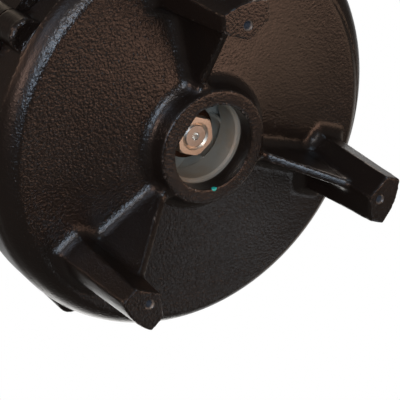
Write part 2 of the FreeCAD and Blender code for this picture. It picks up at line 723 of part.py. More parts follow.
def make_casing():
    """Volute with its legs, ribs, suction collar and outlet riser, one casting."""
    piece = Piece("volute_casing")
    floor = d.casing_rim_height + d.casing_wall
    inner_top = d.casing_top - d.opening_wall
    piece.pad(volute_outline(piece, 0, d.casing_rim_height), d.casing_top - d.casing_rim_height)
    rim = d.casing_rim_height.value
    piece.fillet(lambda e: abs(e.BoundBox.ZMax - rim) < 1e-3, d.casing_edge_radius)
    # Cone and collar
    neck = d.collar_radius + d.collar_flare
    outline = piece.outline("XZ_Plane")
    outline.start(d.inlet_radius - 5, d.collar_face)
    outline.line(d.collar_radius - d.collar_edge, d.collar_face)
    outline.arc(d.collar_radius, d.collar_face + d.collar_edge, d.collar_edge)
    outline.line(neck, d.collar_face + d.collar_flare_height)
    outline.arc(d.cone_inner, d.casing_rim_height - d.cone_drop, -d.collar_fillet)
    outline.line(d.cone_outer, d.casing_rim_height)
    outline.line(d.cone_outer, floor)
    outline.line(d.inlet_radius - 5, floor)
    piece.revolve(outline.close())
    # Legs and ribs
    piece.polar([make_leg(piece)] + make_rib(piece), d.leg_count)
    # Outlet riser
    crown = d.volute_radius + d.growth_shift
    outlet = (d.outlet_distance, crown - d.outlet_radius)
    piece.pad(piece.ring("XY_Plane", d.riser_radius, *outlet, lift=inner_top, turn=d.volute_turn),
              d.riser_top - inner_top)
    bead = d.riser_top - d.riser_bead_height
    piece.pad(piece.ring("XY_Plane", d.riser_radius + d.riser_bead, *outlet, lift=bead, turn=d.volute_turn),
              d.riser_bead_height)
    # Chamber, with its lower corner rounded, and the cone inside it
    piece.pocket(volute_outline(piece, d.casing_wall, inner_top), inner_top - floor)
    low = floor.value
    piece.fillet(lambda e: abs(e.BoundBox.ZMax - low) < 1e-3 and abs(e.BoundBox.ZMin - low) < 1e-3
                 and e.Length > 15, d.casing_edge_radius - d.casing_wall)
    outline = piece.outline("XZ_Plane")
    outline.start(d.inlet_radius - 2, floor - d.cone_drop).line(d.cone_inner, floor - d.cone_drop)
    outline.line(d.cone_outer, floor + 0.1).line(d.inlet_radius - 2, floor + 0.1)
    piece.revolve(outline.close(), cut=True)
    # Bosses for the casing screws
    boss = piece.pad(piece.ring("XY_Plane", d.ear_radius, d.bolt_circle, 0, d.boss_bottom, d.bolt_start),
                     d.casing_top - d.boss_bottom)
    piece.polar([boss], d.bolt_count)
    # Openings
    piece.pocket(piece.ring("XY_Plane", d.cover_opening, lift=d.casing_top), d.opening_wall + 0.1)
    box = box_outline(piece, "XZ_Plane", 0, d.inlet_radius, d.collar_face - 1, d.collar_face + d.inlet_land)
    piece.revolve(box, cut=True)
    box = box_outline(piece, "XZ_Plane", 0, d.eye_ring_radius + d.eye_play,
                      d.collar_face + d.inlet_land, floor)
    piece.revolve(box, cut=True)
    piece.pocket(piece.ring("XY_Plane", d.passage_radius, *outlet, lift=d.riser_top, turn=d.volute_turn),
                 d.riser_top - inner_top + 1)
    piece.pocket(piece.ring("XY_Plane", d.port_radius, *outlet, lift=d.riser_top, turn=d.volute_turn),
                 d.port_depth)
    hole = piece.pocket(piece.ring("XY_Plane", d.foot_hole, d.leg_circle, 0), d.foot_hole_depth, up=True)
    piece.polar([hole], d.leg_count)
    tapped = piece.ring("XY_Plane", d.screw_radius + d.thread_play, d.bolt_circle, 0,
                        d.casing_top, d.bolt_start)
    hole = piece.pocket(tapped, d.casing_top - d.boss_bottom - d.boss_wall)
    piece.polar([hole], d.bolt_count)
    return piece


def vane_outline(piece, lift):
    """One vane's outline: an arc with a rounded leading edge, ended by the rim."""
    half = d.vane_thickness / 2
    middle = d.vane_centre
    places = []
    for radius in (d.vane_arc - half, d.vane_arc + half):
        lead = (middle + radius * cosine(d.vane_lead), radius * sine(d.vane_lead))
        tail_radius = d.impeller_radius - 0.02
        across = (tail_radius * tail_radius + middle * middle - radius * radius) / (2 * middle)
        tail = (across, -root(tail_radius * tail_radius - across * across))
        places.append((radius, lead, tail))
    outline = piece.outline("XY_Plane", lift, d.vane_turn)
    outline.start(*places[0][1])
    outline.arc(*places[0][2], places[0][0])
    outline.arc(*places[1][2], 0.02 - d.impeller_radius)
    outline.arc(*places[1][1], -places[1][0])
    return outline.close(-0.56 * d.vane_thickness)


def make_impeller():
    """Closed impeller: two shrouds, vanes between them, eye ring and hub."""
    piece = Piece("impeller")
    bottom = d.impeller_back - d.back_shroud
    shroud_top = bottom - d.vane_passage
    washer_top = d.nut_face + d.nut_height + d.washer_height
    bore = d.seat_radius + d.shaft_fit
    # Back shroud with the hub
    outline = piece.outline("XZ_Plane")
    outline.start(bore, washer_top).line(d.hub_sleeve_radius, washer_top)
    outline.line(d.hub_sleeve_radius + 0.6, bottom - 6)
    outline.arc(d.hub_sleeve_radius + 6.2, bottom, -6.4)
    outline.line(d.impeller_radius, bottom).line(d.impeller_radius, d.impeller_back - 1)
    outline.line(d.impeller_radius - 1, d.impeller_back)
    outline.line(d.hub_sleeve_radius + 6, d.impeller_back).line(d.hub_sleeve_radius + 3, d.impeller_top)
    outline.line(bore, d.impeller_top)
    piece.revolve(outline.close())
    # Front shroud with the eye ring
    lip = 1.0
    outline = piece.outline("XZ_Plane")
    outline.start(d.eye_radius + lip, d.eye_face).line(d.eye_ring_radius - 0.4, d.eye_face)
    outline.line(d.eye_ring_radius, d.eye_face + 0.4).line(d.eye_ring_radius, d.eye_ring_top)
    outline.arc(d.eye_ring_radius + 3.4, d.eye_ring_top + 3.4, -3.6)
    outline.line(d.impeller_radius, shroud_top - d.front_shroud).line(d.impeller_radius, shroud_top)
    outline.line(d.eye_radius + 1.4, shroud_top - 0.6)
    outline.arc(d.eye_radius, shroud_top - 2, 2.2)
    outline.line(d.eye_radius, d.eye_face + 1.6)
    piece.revolve(outline.close())
    vane = piece.pad(vane_outline(piece, shroud_top - 1.2), d.vane_passage + 1.4)
    piece.polar([vane], d.vane_count)
    # Keyway
    half = d.key_width / 2 + d.key_play
    deep = d.seat_radius + d.key_height / 2 + d.key_play
    box = box_outline(piece, "XY_Plane", 0, deep, -half, half, lift=d.impeller_top)
    piece.pocket(box, d.impeller_top - washer_top)
    return piece


def make_impeller_key():
    """Flat key between shaft and impeller."""
    piece = Piece("impeller_key")
    washer_top = d.nut_face + d.nut_height + d.washer_height
    low = d.seat_radius - d.key_height / 2
    half = d.key_width / 2
    box = box_outline(piece, "XY_Plane", low, low + d.key_height, -half, half, lift=washer_top + 3)
    piece.pad(box, d.key_length)
    return piece


def make_impeller_washer():
    """Washer between the impeller's hub and its nut."""
    piece = Piece("impeller_washer")
    low = d.nut_face + d.nut_height
    ring_profile(piece, d.thread_radius + 0.3, d.washer_radius, low, low + d.washer_height)
    return piece


def make_impeller_nut():
    """Hexagon nut with a turned face and a countersunk thread."""
    piece = Piece("impeller_nut")
    piece.pad(hexagon(piece, d.nut_across_flats, d.nut_face), d.nut_height)
    bore = d.thread_radius + d.thread_play
    piece.pocket(piece.ring("XY_Plane", bore, lift=d.nut_face), d.nut_height, up=True)
    # Countersink
    outline = piece.outline("XZ_Plane")
    outline.start(bore - 1, d.nut_face - 0.1).line(d.nut_countersink + 0.1, d.nut_face - 0.1)
    outline.line(bore - 1, d.nut_face + d.nut_countersink - bore + 1)
    piece.revolve(outline.close(), cut=True)
    # Corners turned off at 30 degrees
    face = d.nut_across_flats / 2 + 0.7
    outline = piece.outline("XZ_Plane")
    outline.start(face, d.nut_face).line(face + 3.2, d.nut_face + 1.85).line(face + 3.2, d.nut_face - 1)
    outline.line(face, d.nut_face - 1)
    piece.revolve(outline.close(), cut=True)
    return piece


def make_shaft():
    """Stepped shaft with keyway, ring grooves and a centre drilling."""
    piece = Piece("rotor_shaft")
    washer_top = d.nut_face + d.nut_height + d.washer_height
    shoulder = d.lower_bearing_floor + d.lower_bearing_width
    rotor_top = d.stator_bottom + d.stator_length + d.end_ring_height + 5
    top = d.upper_bearing_floor + d.upper_bearing_width + 1
    groove_low = d.lower_bearing_floor - d.clip_thickness - d.clip_play
    groove = d.journal_radius - d.clip_depth
    outline = piece.outline("XZ_Plane")
    outline.start(0, d.nut_face + d.centre_depth).line(d.centre_drill, d.nut_face)
    outline.line(d.thread_radius - d.shaft_end_chamfer, d.nut_face)
    outline.line(d.thread_radius, d.nut_face + d.shaft_end_chamfer).line(d.thread_radius, washer_top)
    outline.line(d.seat_radius, washer_top).line(d.seat_radius, d.impeller_top)
    outline.line(d.journal_radius, d.impeller_top).line(d.journal_radius, groove_low)
    outline.line(groove, groove_low).line(groove, d.lower_bearing_floor)
    outline.line(d.journal_radius, d.lower_bearing_floor).line(d.journal_radius, shoulder)
    outline.line(d.rotor_seat_radius, shoulder).line(d.rotor_seat_radius, rotor_top)
    outline.line(d.seat_radius + 2.5, rotor_top).line(d.seat_radius + 2.5, d.upper_bearing_floor)
    outline.line(d.seat_radius, d.upper_bearing_floor).line(d.seat_radius, top - 1)
    outline.line(d.seat_radius - 1, top).line(0, top)
    piece.revolve(outline.close())
    low = d.seat_radius - d.key_height / 2 - d.key_play
    half = d.key_width / 2 + d.key_play
    box = box_outline(piece, "XY_Plane", low, d.seat_radius + 2, -half, half, lift=washer_top + 3 - d.key_play)
    piece.pocket(box, d.key_length + 2 * d.key_play, up=True)
    return piece


def make_rotor_core():
    """Laminated rotor core."""
    piece = Piece("rotor_core")
    ring_profile(piece, d.rotor_seat_radius + d.shaft_fit, d.stator_bore - d.air_gap,
                 d.stator_bottom, d.stator_bottom + d.stator_length)
    return piece


def make_rotor_end_rings():
    """Cast end rings of the rotor cage with their fan blades."""
    piece = Piece("rotor_end_rings")
    top = d.stator_bottom + d.stator_length
    low = d.stator_bottom - d.end_ring_height
    ring_profile(piece, d.end_ring_inner, d.end_ring_outer, top, top + d.end_ring_height)
    ring_profile(piece, d.end_ring_inner, d.end_ring_outer, low, d.stator_bottom)
    half = d.fan_blade_thickness / 2
    reach = (d.end_ring_inner + 3, d.end_ring_outer - 1.5)
    upper = piece.pad(box_outline(piece, "XY_Plane", *reach, -half, half, lift=top + d.end_ring_height),
                      d.fan_blade_height)
    lower = piece.pad(box_outline(piece, "XY_Plane", *reach, -half, half, lift=low), d.fan_blade_height, down=True)
    piece.polar([upper, lower], d.fan_blade_count)
    return piece


def retaining_ring(name, inner, outer, low, turn):
    """A snap ring, open on one side."""
    piece = Piece(name)
    ring_profile(piece, inner, outer, low, low + d.clip_thickness)
    box = box_outline(piece, "XY_Plane", inner - 2, outer + 1, -d.clip_gap_half, d.clip_gap_half,
                      lift=low + d.clip_thickness, turn=turn)
    piece.pocket(box, d.clip_thickness)
    return piece


def make_spring():
    """Coil spring of the shaft seal."""
    piece = Piece("seal_spring")
    low = d.impeller_top + 0.3 + d.spring_wire
    top = d.seat_plane - d.seal_face_height - d.boot_head - 0.3 - d.spring_wire
    coil = piece.feature("PartDesign::AdditiveHelix", "coil")
    circle = piece.sketch("XZ_Plane")
    add_circle(circle, d.spring_wire, d.spring_radius, low)
    coil.Profile = circle
    coil.ReferenceAxis = (circle, ["V_Axis"])
    coil.Mode = "height-turns-angle"
    coil.Height = (top - low).value
    bind(coil, "Height", top - low)
    coil.Turns = d.spring_turns.value
    bind(coil, "Turns", d.spring_turns)
    coil.Angle = 0
    piece.done(coil)
    return piece


def make_seal():
    """Rubber boot, drive band, rotating ring, fixed ring and its cup."""
    face_low = d.seat_plane - d.seal_face_height
    head_low = face_low - d.boot_head
    boot = Piece("seal_boot")
    bore = d.journal_radius + d.shaft_fit
    skirt = d.journal_radius + d.boot_wall
    outline = boot.outline("XZ_Plane")
    outline.start(bore, d.impeller_top + 2).line(skirt, d.impeller_top + 2).line(skirt, head_low)
    outline.line(d.seal_face_outer + 0.5, head_low).line(d.seal_face_outer + 0.5, face_low)
    outline.line(bore, face_low)
    boot.revolve(outline.close())
    band = Piece("seal_drive_band")
    inner = d.seal_face_outer + 0.55
    ring_profile(band, inner, inner + d.band_wall, face_low + 1 - d.band_height, face_low + 1)
    face = Piece("seal_rotating_ring")
    outline = face.outline("XZ_Plane")
    outline.start(bore + 0.5, face_low).line(d.seal_face_outer, face_low)
    outline.line(d.seal_face_outer, d.seat_plane - 1.5).line(d.seal_face_outer - 1.5, d.seat_plane - 1.5)
    outline.line(d.seal_face_outer - 1.5, d.seat_plane).line(bore + 1.5, d.seat_plane)
    outline.line(bore + 1.5, face_low + 1).line(bore + 0.5, face_low + 1)
    face.revolve(outline.close())
    seat = Piece("seal_fixed_ring")
    low = d.seat_plane + d.seal_running_gap
    ring_profile(seat, d.journal_radius + d.seal_bore_play, d.seat_outer, low, low + d.seat_height)
    cup = Piece("seal_seat_cup")
    outer = d.seat_bore - d.shaft_fit
    outline = cup.outline("XZ_Plane")
    inner = d.seat_outer + d.shaft_fit
    roof = low + d.seat_height + d.shaft_fit
    outline.start(inner, low + 1.2).line(outer, low + 1.2).line(outer, roof + 0.8)
    outline.line(d.seat_outer - 4, roof + 0.8).line(d.seat_outer - 4, roof).line(inner, roof)
    cup.revolve(outline.close())


def ears(piece, low, height):
    """Ears round the casing screws on a flange."""
    ear = piece.pad(piece.ring("XY_Plane", d.ear_radius, d.bolt_circle, 0, low, d.bolt_start), height)
    piece.polar([ear], d.bolt_count)


def screw_holes(piece, top, depth):
    """Through holes for the casing screws."""
    ring = piece.ring("XY_Plane", d.screw_radius + d.screw_clearance, d.bolt_circle, 0, top, d.bolt_start)
    hole = piece.pocket(ring, depth)
    piece.polar([hole], d.bolt_count)


def make_seal_plate():
    """Plate between casing and motor, with the seal's seat and the lower bearing's hub."""
    piece = Piece("seal_plate")
    low = d.casing_top - d.spigot_depth
    spigot = d.cover_opening - d.register_play
    top = d.casing_top + d.plate_thickness
    male = d.housing_register - d.register_play
    bearing_top = d.lower_bearing_floor + d.lower_bearing_width
    hub_top = bearing_top + d.clip_thickness + 3
    shoulder = d.seat_plane + d.seat_height + 2
    snap = d.lower_bearing_outer + d.clip_depth
    half = d.ring_section + d.ring_groove_play
    deep = d.ring_section * 2 + d.ring_groove_play * 2
    ring = d.casing_top - d.casing_ring_drop
    upper = top + d.register_height / 2
    outline = piece.outline("XZ_Plane")
    outline.start(d.seal_cavity, low).line(spigot - 1, low).line(spigot, low + 1).line(spigot, ring - half)
    outline.line(d.cover_opening - deep, ring - half).line(d.cover_opening - deep, ring + half)
    outline.line(spigot, ring + half).line(spigot, d.casing_top).line(d.flange_radius, d.casing_top)
    outline.line(d.flange_radius, top).line(male, top).line(male, upper - half)
    outline.line(d.housing_register - deep, upper - half).line(d.housing_register - deep, upper + half)
    outline.line(male, upper + half).line(male, top + d.register_height)
    outline.line(d.housing_register - 8, top + d.register_height)
    outline.line(d.housing_register - 10, low + 9).line(d.hub_root_radius + 4, low + 9)
    outline.line(d.hub_root_radius, top).line(d.hub_radius, top + d.hub_cone_height)
    outline.line(d.hub_radius, hub_top).line(d.lower_bearing_outer + d.shaft_fit, hub_top)
    outline.line(d.lower_bearing_outer + d.shaft_fit, bearing_top + d.clip_thickness + d.clip_play)
    outline.line(snap, bearing_top + d.clip_thickness + d.clip_play).line(snap, bearing_top)
    outline.line(d.lower_bearing_outer + d.shaft_fit, bearing_top)
    outline.line(d.lower_bearing_outer + d.shaft_fit, d.lower_bearing_floor)
    outline.line(d.relief_radius, d.lower_bearing_floor).line(d.relief_radius, shoulder + 6)
    outline.line(d.journal_radius + d.shaft_play, shoulder + 6)
    outline.line(d.journal_radius + d.shaft_play, shoulder).line(d.seat_bore, shoulder)
    outline.line(d.seat_bore, d.seat_plane).line(d.seal_cavity, d.seat_plane - 3)
    piece.revolve(outline.close())
    ears(piece, d.casing_top, d.plate_thickness)
    screw_holes(piece, top, d.plate_thickness)
    return piece


def o_ring(name, radius, height):
    """An O-ring in the groove of a spigot whose bore has this radius."""
    piece = Piece(name)
    circle = piece.sketch("XZ_Plane")
    add_circle(circle, d.ring_section, radius - d.ring_section - d.ring_groove_play, height)
    piece.revolve(circle)
    return piece


def turned_corners(piece, across_flats, top, x=0, turn=0, drop=0.58):
    """Turns the corners off the upper end of a hexagon."""
    flat = x + across_flats / 2 - 0.25
    reach = across_flats / 6
    outline = piece.outline("XZ_Plane", 0, turn)
    outline.start(flat, top + 0.01).line(flat + reach, top - drop * reach).line(flat + reach, top + 0.01)
    sketch = outline.close()
    add_axis(sketch, x)
    return piece.revolve(sketch, cut=True, axis="Axis0")


def hex_screw(piece, radius, across_flats, head, under_head, reach, x, turn):
    """A hexagon-head screw pointing down, its head resting at one height."""
    return [
        piece.pad(hexagon(piece, across_flats, under_head, x, turn), head),
        piece.pad(piece.ring("XY_Plane", radius, x, 0, under_head, turn), reach, down=True),
        turned_corners(piece, across_flats, under_head + head, x, turn)]


def make_casing_screws():
    """Screws through housing flange and seal plate into the casing, and their lock washers."""
    top = d.casing_top + d.plate_thickness + d.housing_flange
    screws = Piece("casing_screws")
    rest = top + d.lock_washer_height
    parts = hex_screw(screws, d.screw_radius, d.hex_across_flats, d.hex_height, rest,
                      rest - d.casing_top + d.screw_reach, d.bolt_circle, d.bolt_start)
    screws.polar(parts, d.bolt_count)
    washers = Piece("casing_screw_washers")
    ring = washers.ring("XY_Plane", d.lock_washer_radius, d.bolt_circle, 0, top, d.bolt_start,
                        hole=d.screw_radius + 0.2)
    pad = washers.pad(ring, d.lock_washer_height)
    gap = box_outline(washers, "XY_Plane", d.bolt_circle + 1, d.bolt_circle + d.lock_washer_radius + 1,
                      -0.6, 0.6, top + d.lock_washer_height, d.bolt_start)
    cut = washers.pocket(gap, d.lock_washer_height)
    washers.polar([pad, cut], d.bolt_count)


def make_motor_housing():
    """Oil-filled housing of the motor: flange, gussets, bores, upper bearing hub, wiring chamber."""
    piece = Piece("motor_housing")
    low = d.casing_top + d.plate_thickness
    flange = low + d.housing_flange
    neck = d.housing_top - d.top_flange
    narrow = d.housing_radius - d.housing_draft
    stator_low = d.stator_bottom - 3
    stator_top = d.stator_bottom + d.stator_length
    bearing = d.upper_bearing_outer + d.shaft_fit
    hub_low = d.motor_ceiling - d.bearing_hub_length
    bearing_top = d.upper_bearing_floor + d.upper_bearing_width + d.preload_height
    outline = piece.outline("XZ_Plane")
    outline.start(d.housing_register, low).line(d.flange_radius, low).line(d.flange_radius, flange - 1.5)
    outline.line(d.flange_radius - 1.5, flange).line(d.housing_radius + 4, flange)
    outline.line(d.housing_radius, flange + 4).line(narrow, neck - 4)
    outline.line(narrow + 4, neck).line(d.top_flange_radius, neck).line(d.top_flange_radius, d.housing_top)
    outline.line(d.wiring_bore, d.housing_top).line(d.wiring_bore, d.wiring_floor)
    outline.line(0, d.wiring_floor).line(0, bearing_top + 3).line(d.seat_radius + 4, bearing_top + 3)
    outline.line(d.seat_radius + 4, bearing_top).line(bearing, bearing_top).line(bearing, hub_low)
    outline.line(d.bearing_hub_radius, hub_low).line(d.bearing_hub_radius + 2, d.motor_ceiling)
    outline.line(d.upper_bore, d.motor_ceiling).line(d.upper_bore, stator_top)
    outline.line(d.stator_radius + d.stator_fit, stator_top)
    outline.line(d.stator_radius + d.stator_fit, stator_low).line(d.lower_bore, stator_low - 5)
    outline.line(d.lower_bore, low + d.register_height + 2)
    outline.line(d.housing_register, low + d.register_height + 2)
    piece.revolve(outline.close())
    # Gussets on the flange, between the screws
    outline = piece.outline("XZ_Plane", 0, 0)
    outline.start(d.housing_radius - 3, flange - 1).line(d.gusset_reach, flange - 1)
    outline.line(d.gusset_reach, flange + 3).line(d.housing_radius - 3, flange + d.gusset_height)
    gusset = piece.feature("PartDesign::Pad", "gusset")
    gusset.Profile = outline.close()
    gusset.SideType = "Symmetric"
    gusset.Length = (d.gusset_half * 2).value
    bind(gusset, "Length", d.gusset_half * 2)
    piece.done(gusset)
    piece.polar([gusset], d.bolt_count)
    ears(piece, low, d.housing_flange)
    screw_holes(piece, flange, d.housing_flange)
    # Lugs and threaded holes for the cover's screws
    lug = piece.pad(piece.ring("XY_Plane", d.cover_lug_radius, d.cover_screw_circle, 0, neck, d.cover_screw_start),
                    d.top_flange)
    piece.polar([lug], d.cover_screw_count)
    tapped = piece.ring("XY_Plane", d.cover_screw_radius + d.thread_play, d.cover_screw_circle, 0,
                        d.housing_top, d.cover_screw_start)
    hole = piece.pocket(tapped, d.cover_screw_reach - 1)
    piece.polar([hole], d.cover_screw_count)
    # Hole for the leads, and threaded holes of the clamp and the terminal block
    piece.pocket(piece.ring("XY_Plane", d.lead_hole, d.lead_hole_circle, 0, d.wiring_floor, 45),
                 d.wiring_floor - d.motor_ceiling + 1)
    clamp = d.capacitor_distance + d.capacitor_radius + d.clamp_foot / 2 + 1
    piece.pocket(piece.ring("XY_Plane", d.clamp_screw_radius + d.thread_play, clamp, 0, d.wiring_floor, 180),
                 d.clamp_screw_reach)
    return piece


def make_stator():
    """Laminated stator core with slots, and the windings in them."""
    core = Piece("stator_core")
    top = d.stator_bottom + d.stator_length
    ring_profile(core, d.stator_bore, d.stator_radius, d.stator_bottom, top)
    slot = core.pocket(box_outline(core, "XY_Plane", d.stator_bore - 1, d.slot_bottom, -d.slot_half, d.slot_half,
                                   lift=top), d.stator_length)
    core.polar([slot], d.slot_count)
    coils = Piece("stator_windings")
    half = d.slot_half - 0.3
    bar = coils.pad(box_outline(coils, "XY_Plane", d.winding_inner, d.slot_bottom - 0.5, -half, half,
                                lift=d.stator_bottom - 4), d.stator_length + 8)
    coils.polar([bar], d.slot_count)
    soft = d.winding_rounding
    for low, high in ((d.stator_bottom - d.winding_reach, d.stator_bottom - 1.5),
                      (top + 1.5, top + d.winding_reach)):
        outline = coils.outline("XZ_Plane")
        outline.start(d.winding_inner + soft, low).line(d.winding_outer - soft, low)
        outline.arc(d.winding_outer, low + soft, soft).line(d.winding_outer, high - soft)
        outline.arc(d.winding_outer - soft, high, soft).line(d.winding_inner + soft, high)
        outline.arc(d.winding_inner, high - soft, soft).line(d.winding_inner, low + soft)
        coils.revolve(outline.close(soft))


def make_bearing(name, inner, outer, low, width, ball):
    """Deep-groove ball bearing: two rings, eight balls and their cage."""
    pitch = (inner + outer) / 2
    middle = low + width / 2
    groove = ball + d.ball_play
    edge = 0.6
    for word, near, far, groove_side in (("outer_ring", outer - d.race_wall, outer, -1),
                                         ("inner_ring", inner + d.shaft_fit, inner + d.race_wall, 1)):
        piece = Piece(f"{name}_{word}")
        if groove_side < 0:
            flank = near
            away = flank - pitch
            half = root(groove * groove - away * away)
            outline = piece.outline("XZ_Plane")
            outline.start(near, low).line(far - edge, low).line(far, low + edge)
            outline.line(far, low + width - edge).line(far - edge, low + width).line(near, low + width)
            outline.line(near, middle + half)
            outline.arc(near, middle - half, -groove)
        else:
            flank = far
            away = pitch - flank
            half = root(groove * groove - away * away)
            outline = piece.outline("XZ_Plane")
            outline.start(near + edge, low).line(far, low).line(far, middle - half)
            outline.arc(far, middle + half, -groove).line(far, low + width).line(near + edge, low + width)
            outline.line(near, low + width - edge).line(near, low + edge)
        piece.revolve(outline.close())
    balls = Piece(f"{name}_balls")
    outline = balls.outline("XZ_Plane")
    outline.start(pitch, middle - ball).arc(pitch + ball, middle, ball).arc(pitch, middle + ball, ball)
    sketch = outline.close()
    add_axis(sketch, pitch)
    first = balls.revolve(sketch, axis="Axis0")
    balls.polar([first], d.ball_count)
    cage = Piece(f"{name}_cage")
    tall = ball + d.cage_margin
    ring_profile(cage, pitch - d.cage_half_wall, pitch + d.cage_half_wall, middle - tall, middle + tall)
    window = cage.sketch("YZ_Plane", pitch + 3)
    add_circle(window, ball + 0.1, 0, middle)
    hole = cage.pocket(window, 6)
    cage.polar([hole], d.ball_count)


def make_preload_washer():
    """Waved washer above the upper bearing, drawn as a flat ring with three crests."""
    piece = Piece("preload_washer")
    low = d.upper_bearing_floor + d.upper_bearing_width
    inner = d.upper_bearing_outer - 4.5
    outer = d.upper_bearing_outer - 0.4
    slack = (d.preload_height - d.preload_wall) / 2
    ring_profile(piece, inner, outer, low + slack, low + slack + d.preload_wall)
    for turn in (0, 60):
        crest = box_outline(piece, "XY_Plane", inner + 0.4, outer - 0.6, -1.6, 1.6,
                            lift=low + (slack + d.preload_wall / 2 if turn else 0), turn=turn)
        pad = piece.pad(crest, slack + d.preload_wall / 2)
        piece.polar([pad], 3)
    return piece


def make_cover():
    """Top cover with its pads, cable entry and oil filler, and the gasket under it."""
    piece = Piece("top_cover")
    low = d.housing_top + d.gasket_height
    flange = low + d.cover_flange
    narrow = d.cover_radius - d.cover_draft
    soft = d.cover_edge_radius
    inner = soft - d.cover_wall
    ceiling = d.cover_top - d.cover_wall
    outline = piece.outline("XZ_Plane")
    outline.start(d.wiring_bore, low).line(d.top_flange_radius, low).line(d.top_flange_radius, flange)
    outline.line(d.cover_radius + 3, flange).line(d.cover_radius, flange + 3)
    outline.line(narrow, d.cover_top - soft).arc(narrow - soft, d.cover_top, soft * 1.04)
    outline.line(0, d.cover_top).line(0, ceiling).line(narrow - soft, ceiling)
    outline.arc(narrow - d.cover_wall, d.cover_top - soft, -1.04 * inner)
    piece.revolve(outline.close())
    lug = piece.pad(piece.ring("XY_Plane", d.cover_lug_radius, d.cover_screw_circle, 0, low, d.cover_screw_start),
                    d.cover_flange)
    piece.polar([lug], d.cover_screw_count)
    ring = piece.ring("XY_Plane", d.cover_screw_radius + 0.3, d.cover_screw_circle, 0, flange,
                      d.cover_screw_start)
    hole = piece.pocket(ring, d.cover_flange)
    piece.polar([hole], d.cover_screw_count)
    # Pads of the handle, with bosses inside for its screws
    rise = d.cover_wall + d.handle_boss_drop
    for turn in (90, 270):
        piece.pad(piece.ring("XY_Plane", d.handle_pad_radius, d.handle_span, 0, d.cover_top - rise, turn),
                  rise + d.handle_pad_height)
        piece.pocket(piece.ring("XY_Plane", d.screw_radius + d.thread_play, d.handle_span, 0,
                                d.cover_top + d.handle_pad_height, turn), d.handle_screw_reach + 1)
    # Cable entry and oil filler
    piece.pad(piece.ring("XY_Plane", d.entry_boss_radius, d.entry_distance, 0, d.cover_top - 4),
              d.entry_boss_height + 4)
    piece.pocket(piece.ring("XY_Plane", d.gland_thread + d.thread_play, d.entry_distance, 0,
                            d.cover_top + d.entry_boss_height), d.entry_boss_height + d.cover_wall + 1)
    piece.pad(piece.ring("XY_Plane", d.plug_boss_radius, d.plug_distance, 0, d.cover_top - 4, 180),
              d.plug_boss_height + 4)
    piece.pocket(piece.ring("XY_Plane", d.plug_thread + d.thread_play, d.plug_distance, 0,
                            d.cover_top + d.plug_boss_height, 180), d.plug_boss_height + d.cover_wall + 1)
    gasket = Piece("cover_gasket")
    ring_profile(gasket, d.wiring_bore, d.top_flange_radius, d.housing_top, low)
    lug = gasket.pad(gasket.ring("XY_Plane", d.cover_lug_radius, d.cover_screw_circle, 0, d.housing_top,
                                 d.cover_screw_start), d.gasket_height)
    gasket.polar([lug], d.cover_screw_count)
    ring = gasket.ring("XY_Plane", d.cover_screw_radius + 0.4, d.cover_screw_circle, 0, low,
                       d.cover_screw_start)
    hole = gasket.pocket(ring, d.gasket_height)
    gasket.polar([hole], d.cover_screw_count)
    screws = Piece("cover_screws")
    parts = hex_screw(screws, d.cover_screw_radius, d.cover_hex, d.cover_hex_height, flange,
                      d.cover_flange + d.gasket_height + d.cover_screw_reach - 2,
                      d.cover_screw_circle, d.cover_screw_start)
    screws.polar(parts, d.cover_screw_count)


def make_handle():
    """Bent strap handle with its two screws and lock washers."""
    piece = Piece("lifting_handle")
    foot = d.cover_top + d.handle_pad_height
    thick = d.handle_thickness
    top = foot + d.handle_height
    leg = d.handle_leg
    end = d.handle_span + d.handle_foot_end
    bend = d.handle_bend
    small = d.handle_foot_bend
    low = foot + thick + small
    outline = piece.outline("YZ_Plane", -d.handle_half_width)
    outline.start(end, foot).line(end, foot + thick).line(leg + small, foot + thick)
    outline.arc(leg, low, -small).line(leg, top - bend).arc(leg - bend, top, bend)
    outline.line(bend - leg, top).arc(-leg, top - bend, bend).line(-leg, low)
    outline.arc(-leg - small, foot + thick, -small).line(-end, foot + thick).line(-end, foot)
    outline.line(-leg - small, foot).arc(thick - leg, low, small + thick).line(thick - leg, top - bend)
    outline.arc(bend - leg, top - thick, thick - bend).line(leg - bend, top - thick)
    outline.arc(leg - thick, top - bend, thick - bend).line(leg - thick, low)
    outline.arc(leg + small, foot, small + thick)
    piece.pad(outline.close(), d.handle_half_width * 2)
    for turn in (90, 270):
        piece.pocket(piece.ring("XY_Plane", d.screw_radius + d.screw_clearance, d.handle_span, 0,
                                foot + thick, turn), thick)
    screws = Piece("handle_screws")
    rest = foot + thick + d.lock_washer_height
    parts = hex_screw(screws, d.screw_radius, d.hex_across_flats, d.hex_height, rest,
                      rest - foot + d.handle_screw_reach, d.handle_span, 90)
    screws.polar(parts, 2)
    washers = Piece("handle_lock_washers")
    ring = washers.ring("XY_Plane", d.lock_washer_radius, d.handle_span, 0, foot + thick, 90,
                        hole=d.screw_radius + 0.2)
    pad = washers.pad(ring, d.lock_washer_height)
    gap = box_outline(washers, "XY_Plane", d.handle_span + 1, d.handle_span + d.lock_washer_radius + 1,
                      -0.6, 0.6, rest, 90)
    cut = washers.pocket(gap, d.lock_washer_height)
    washers.polar([pad, cut], 2)


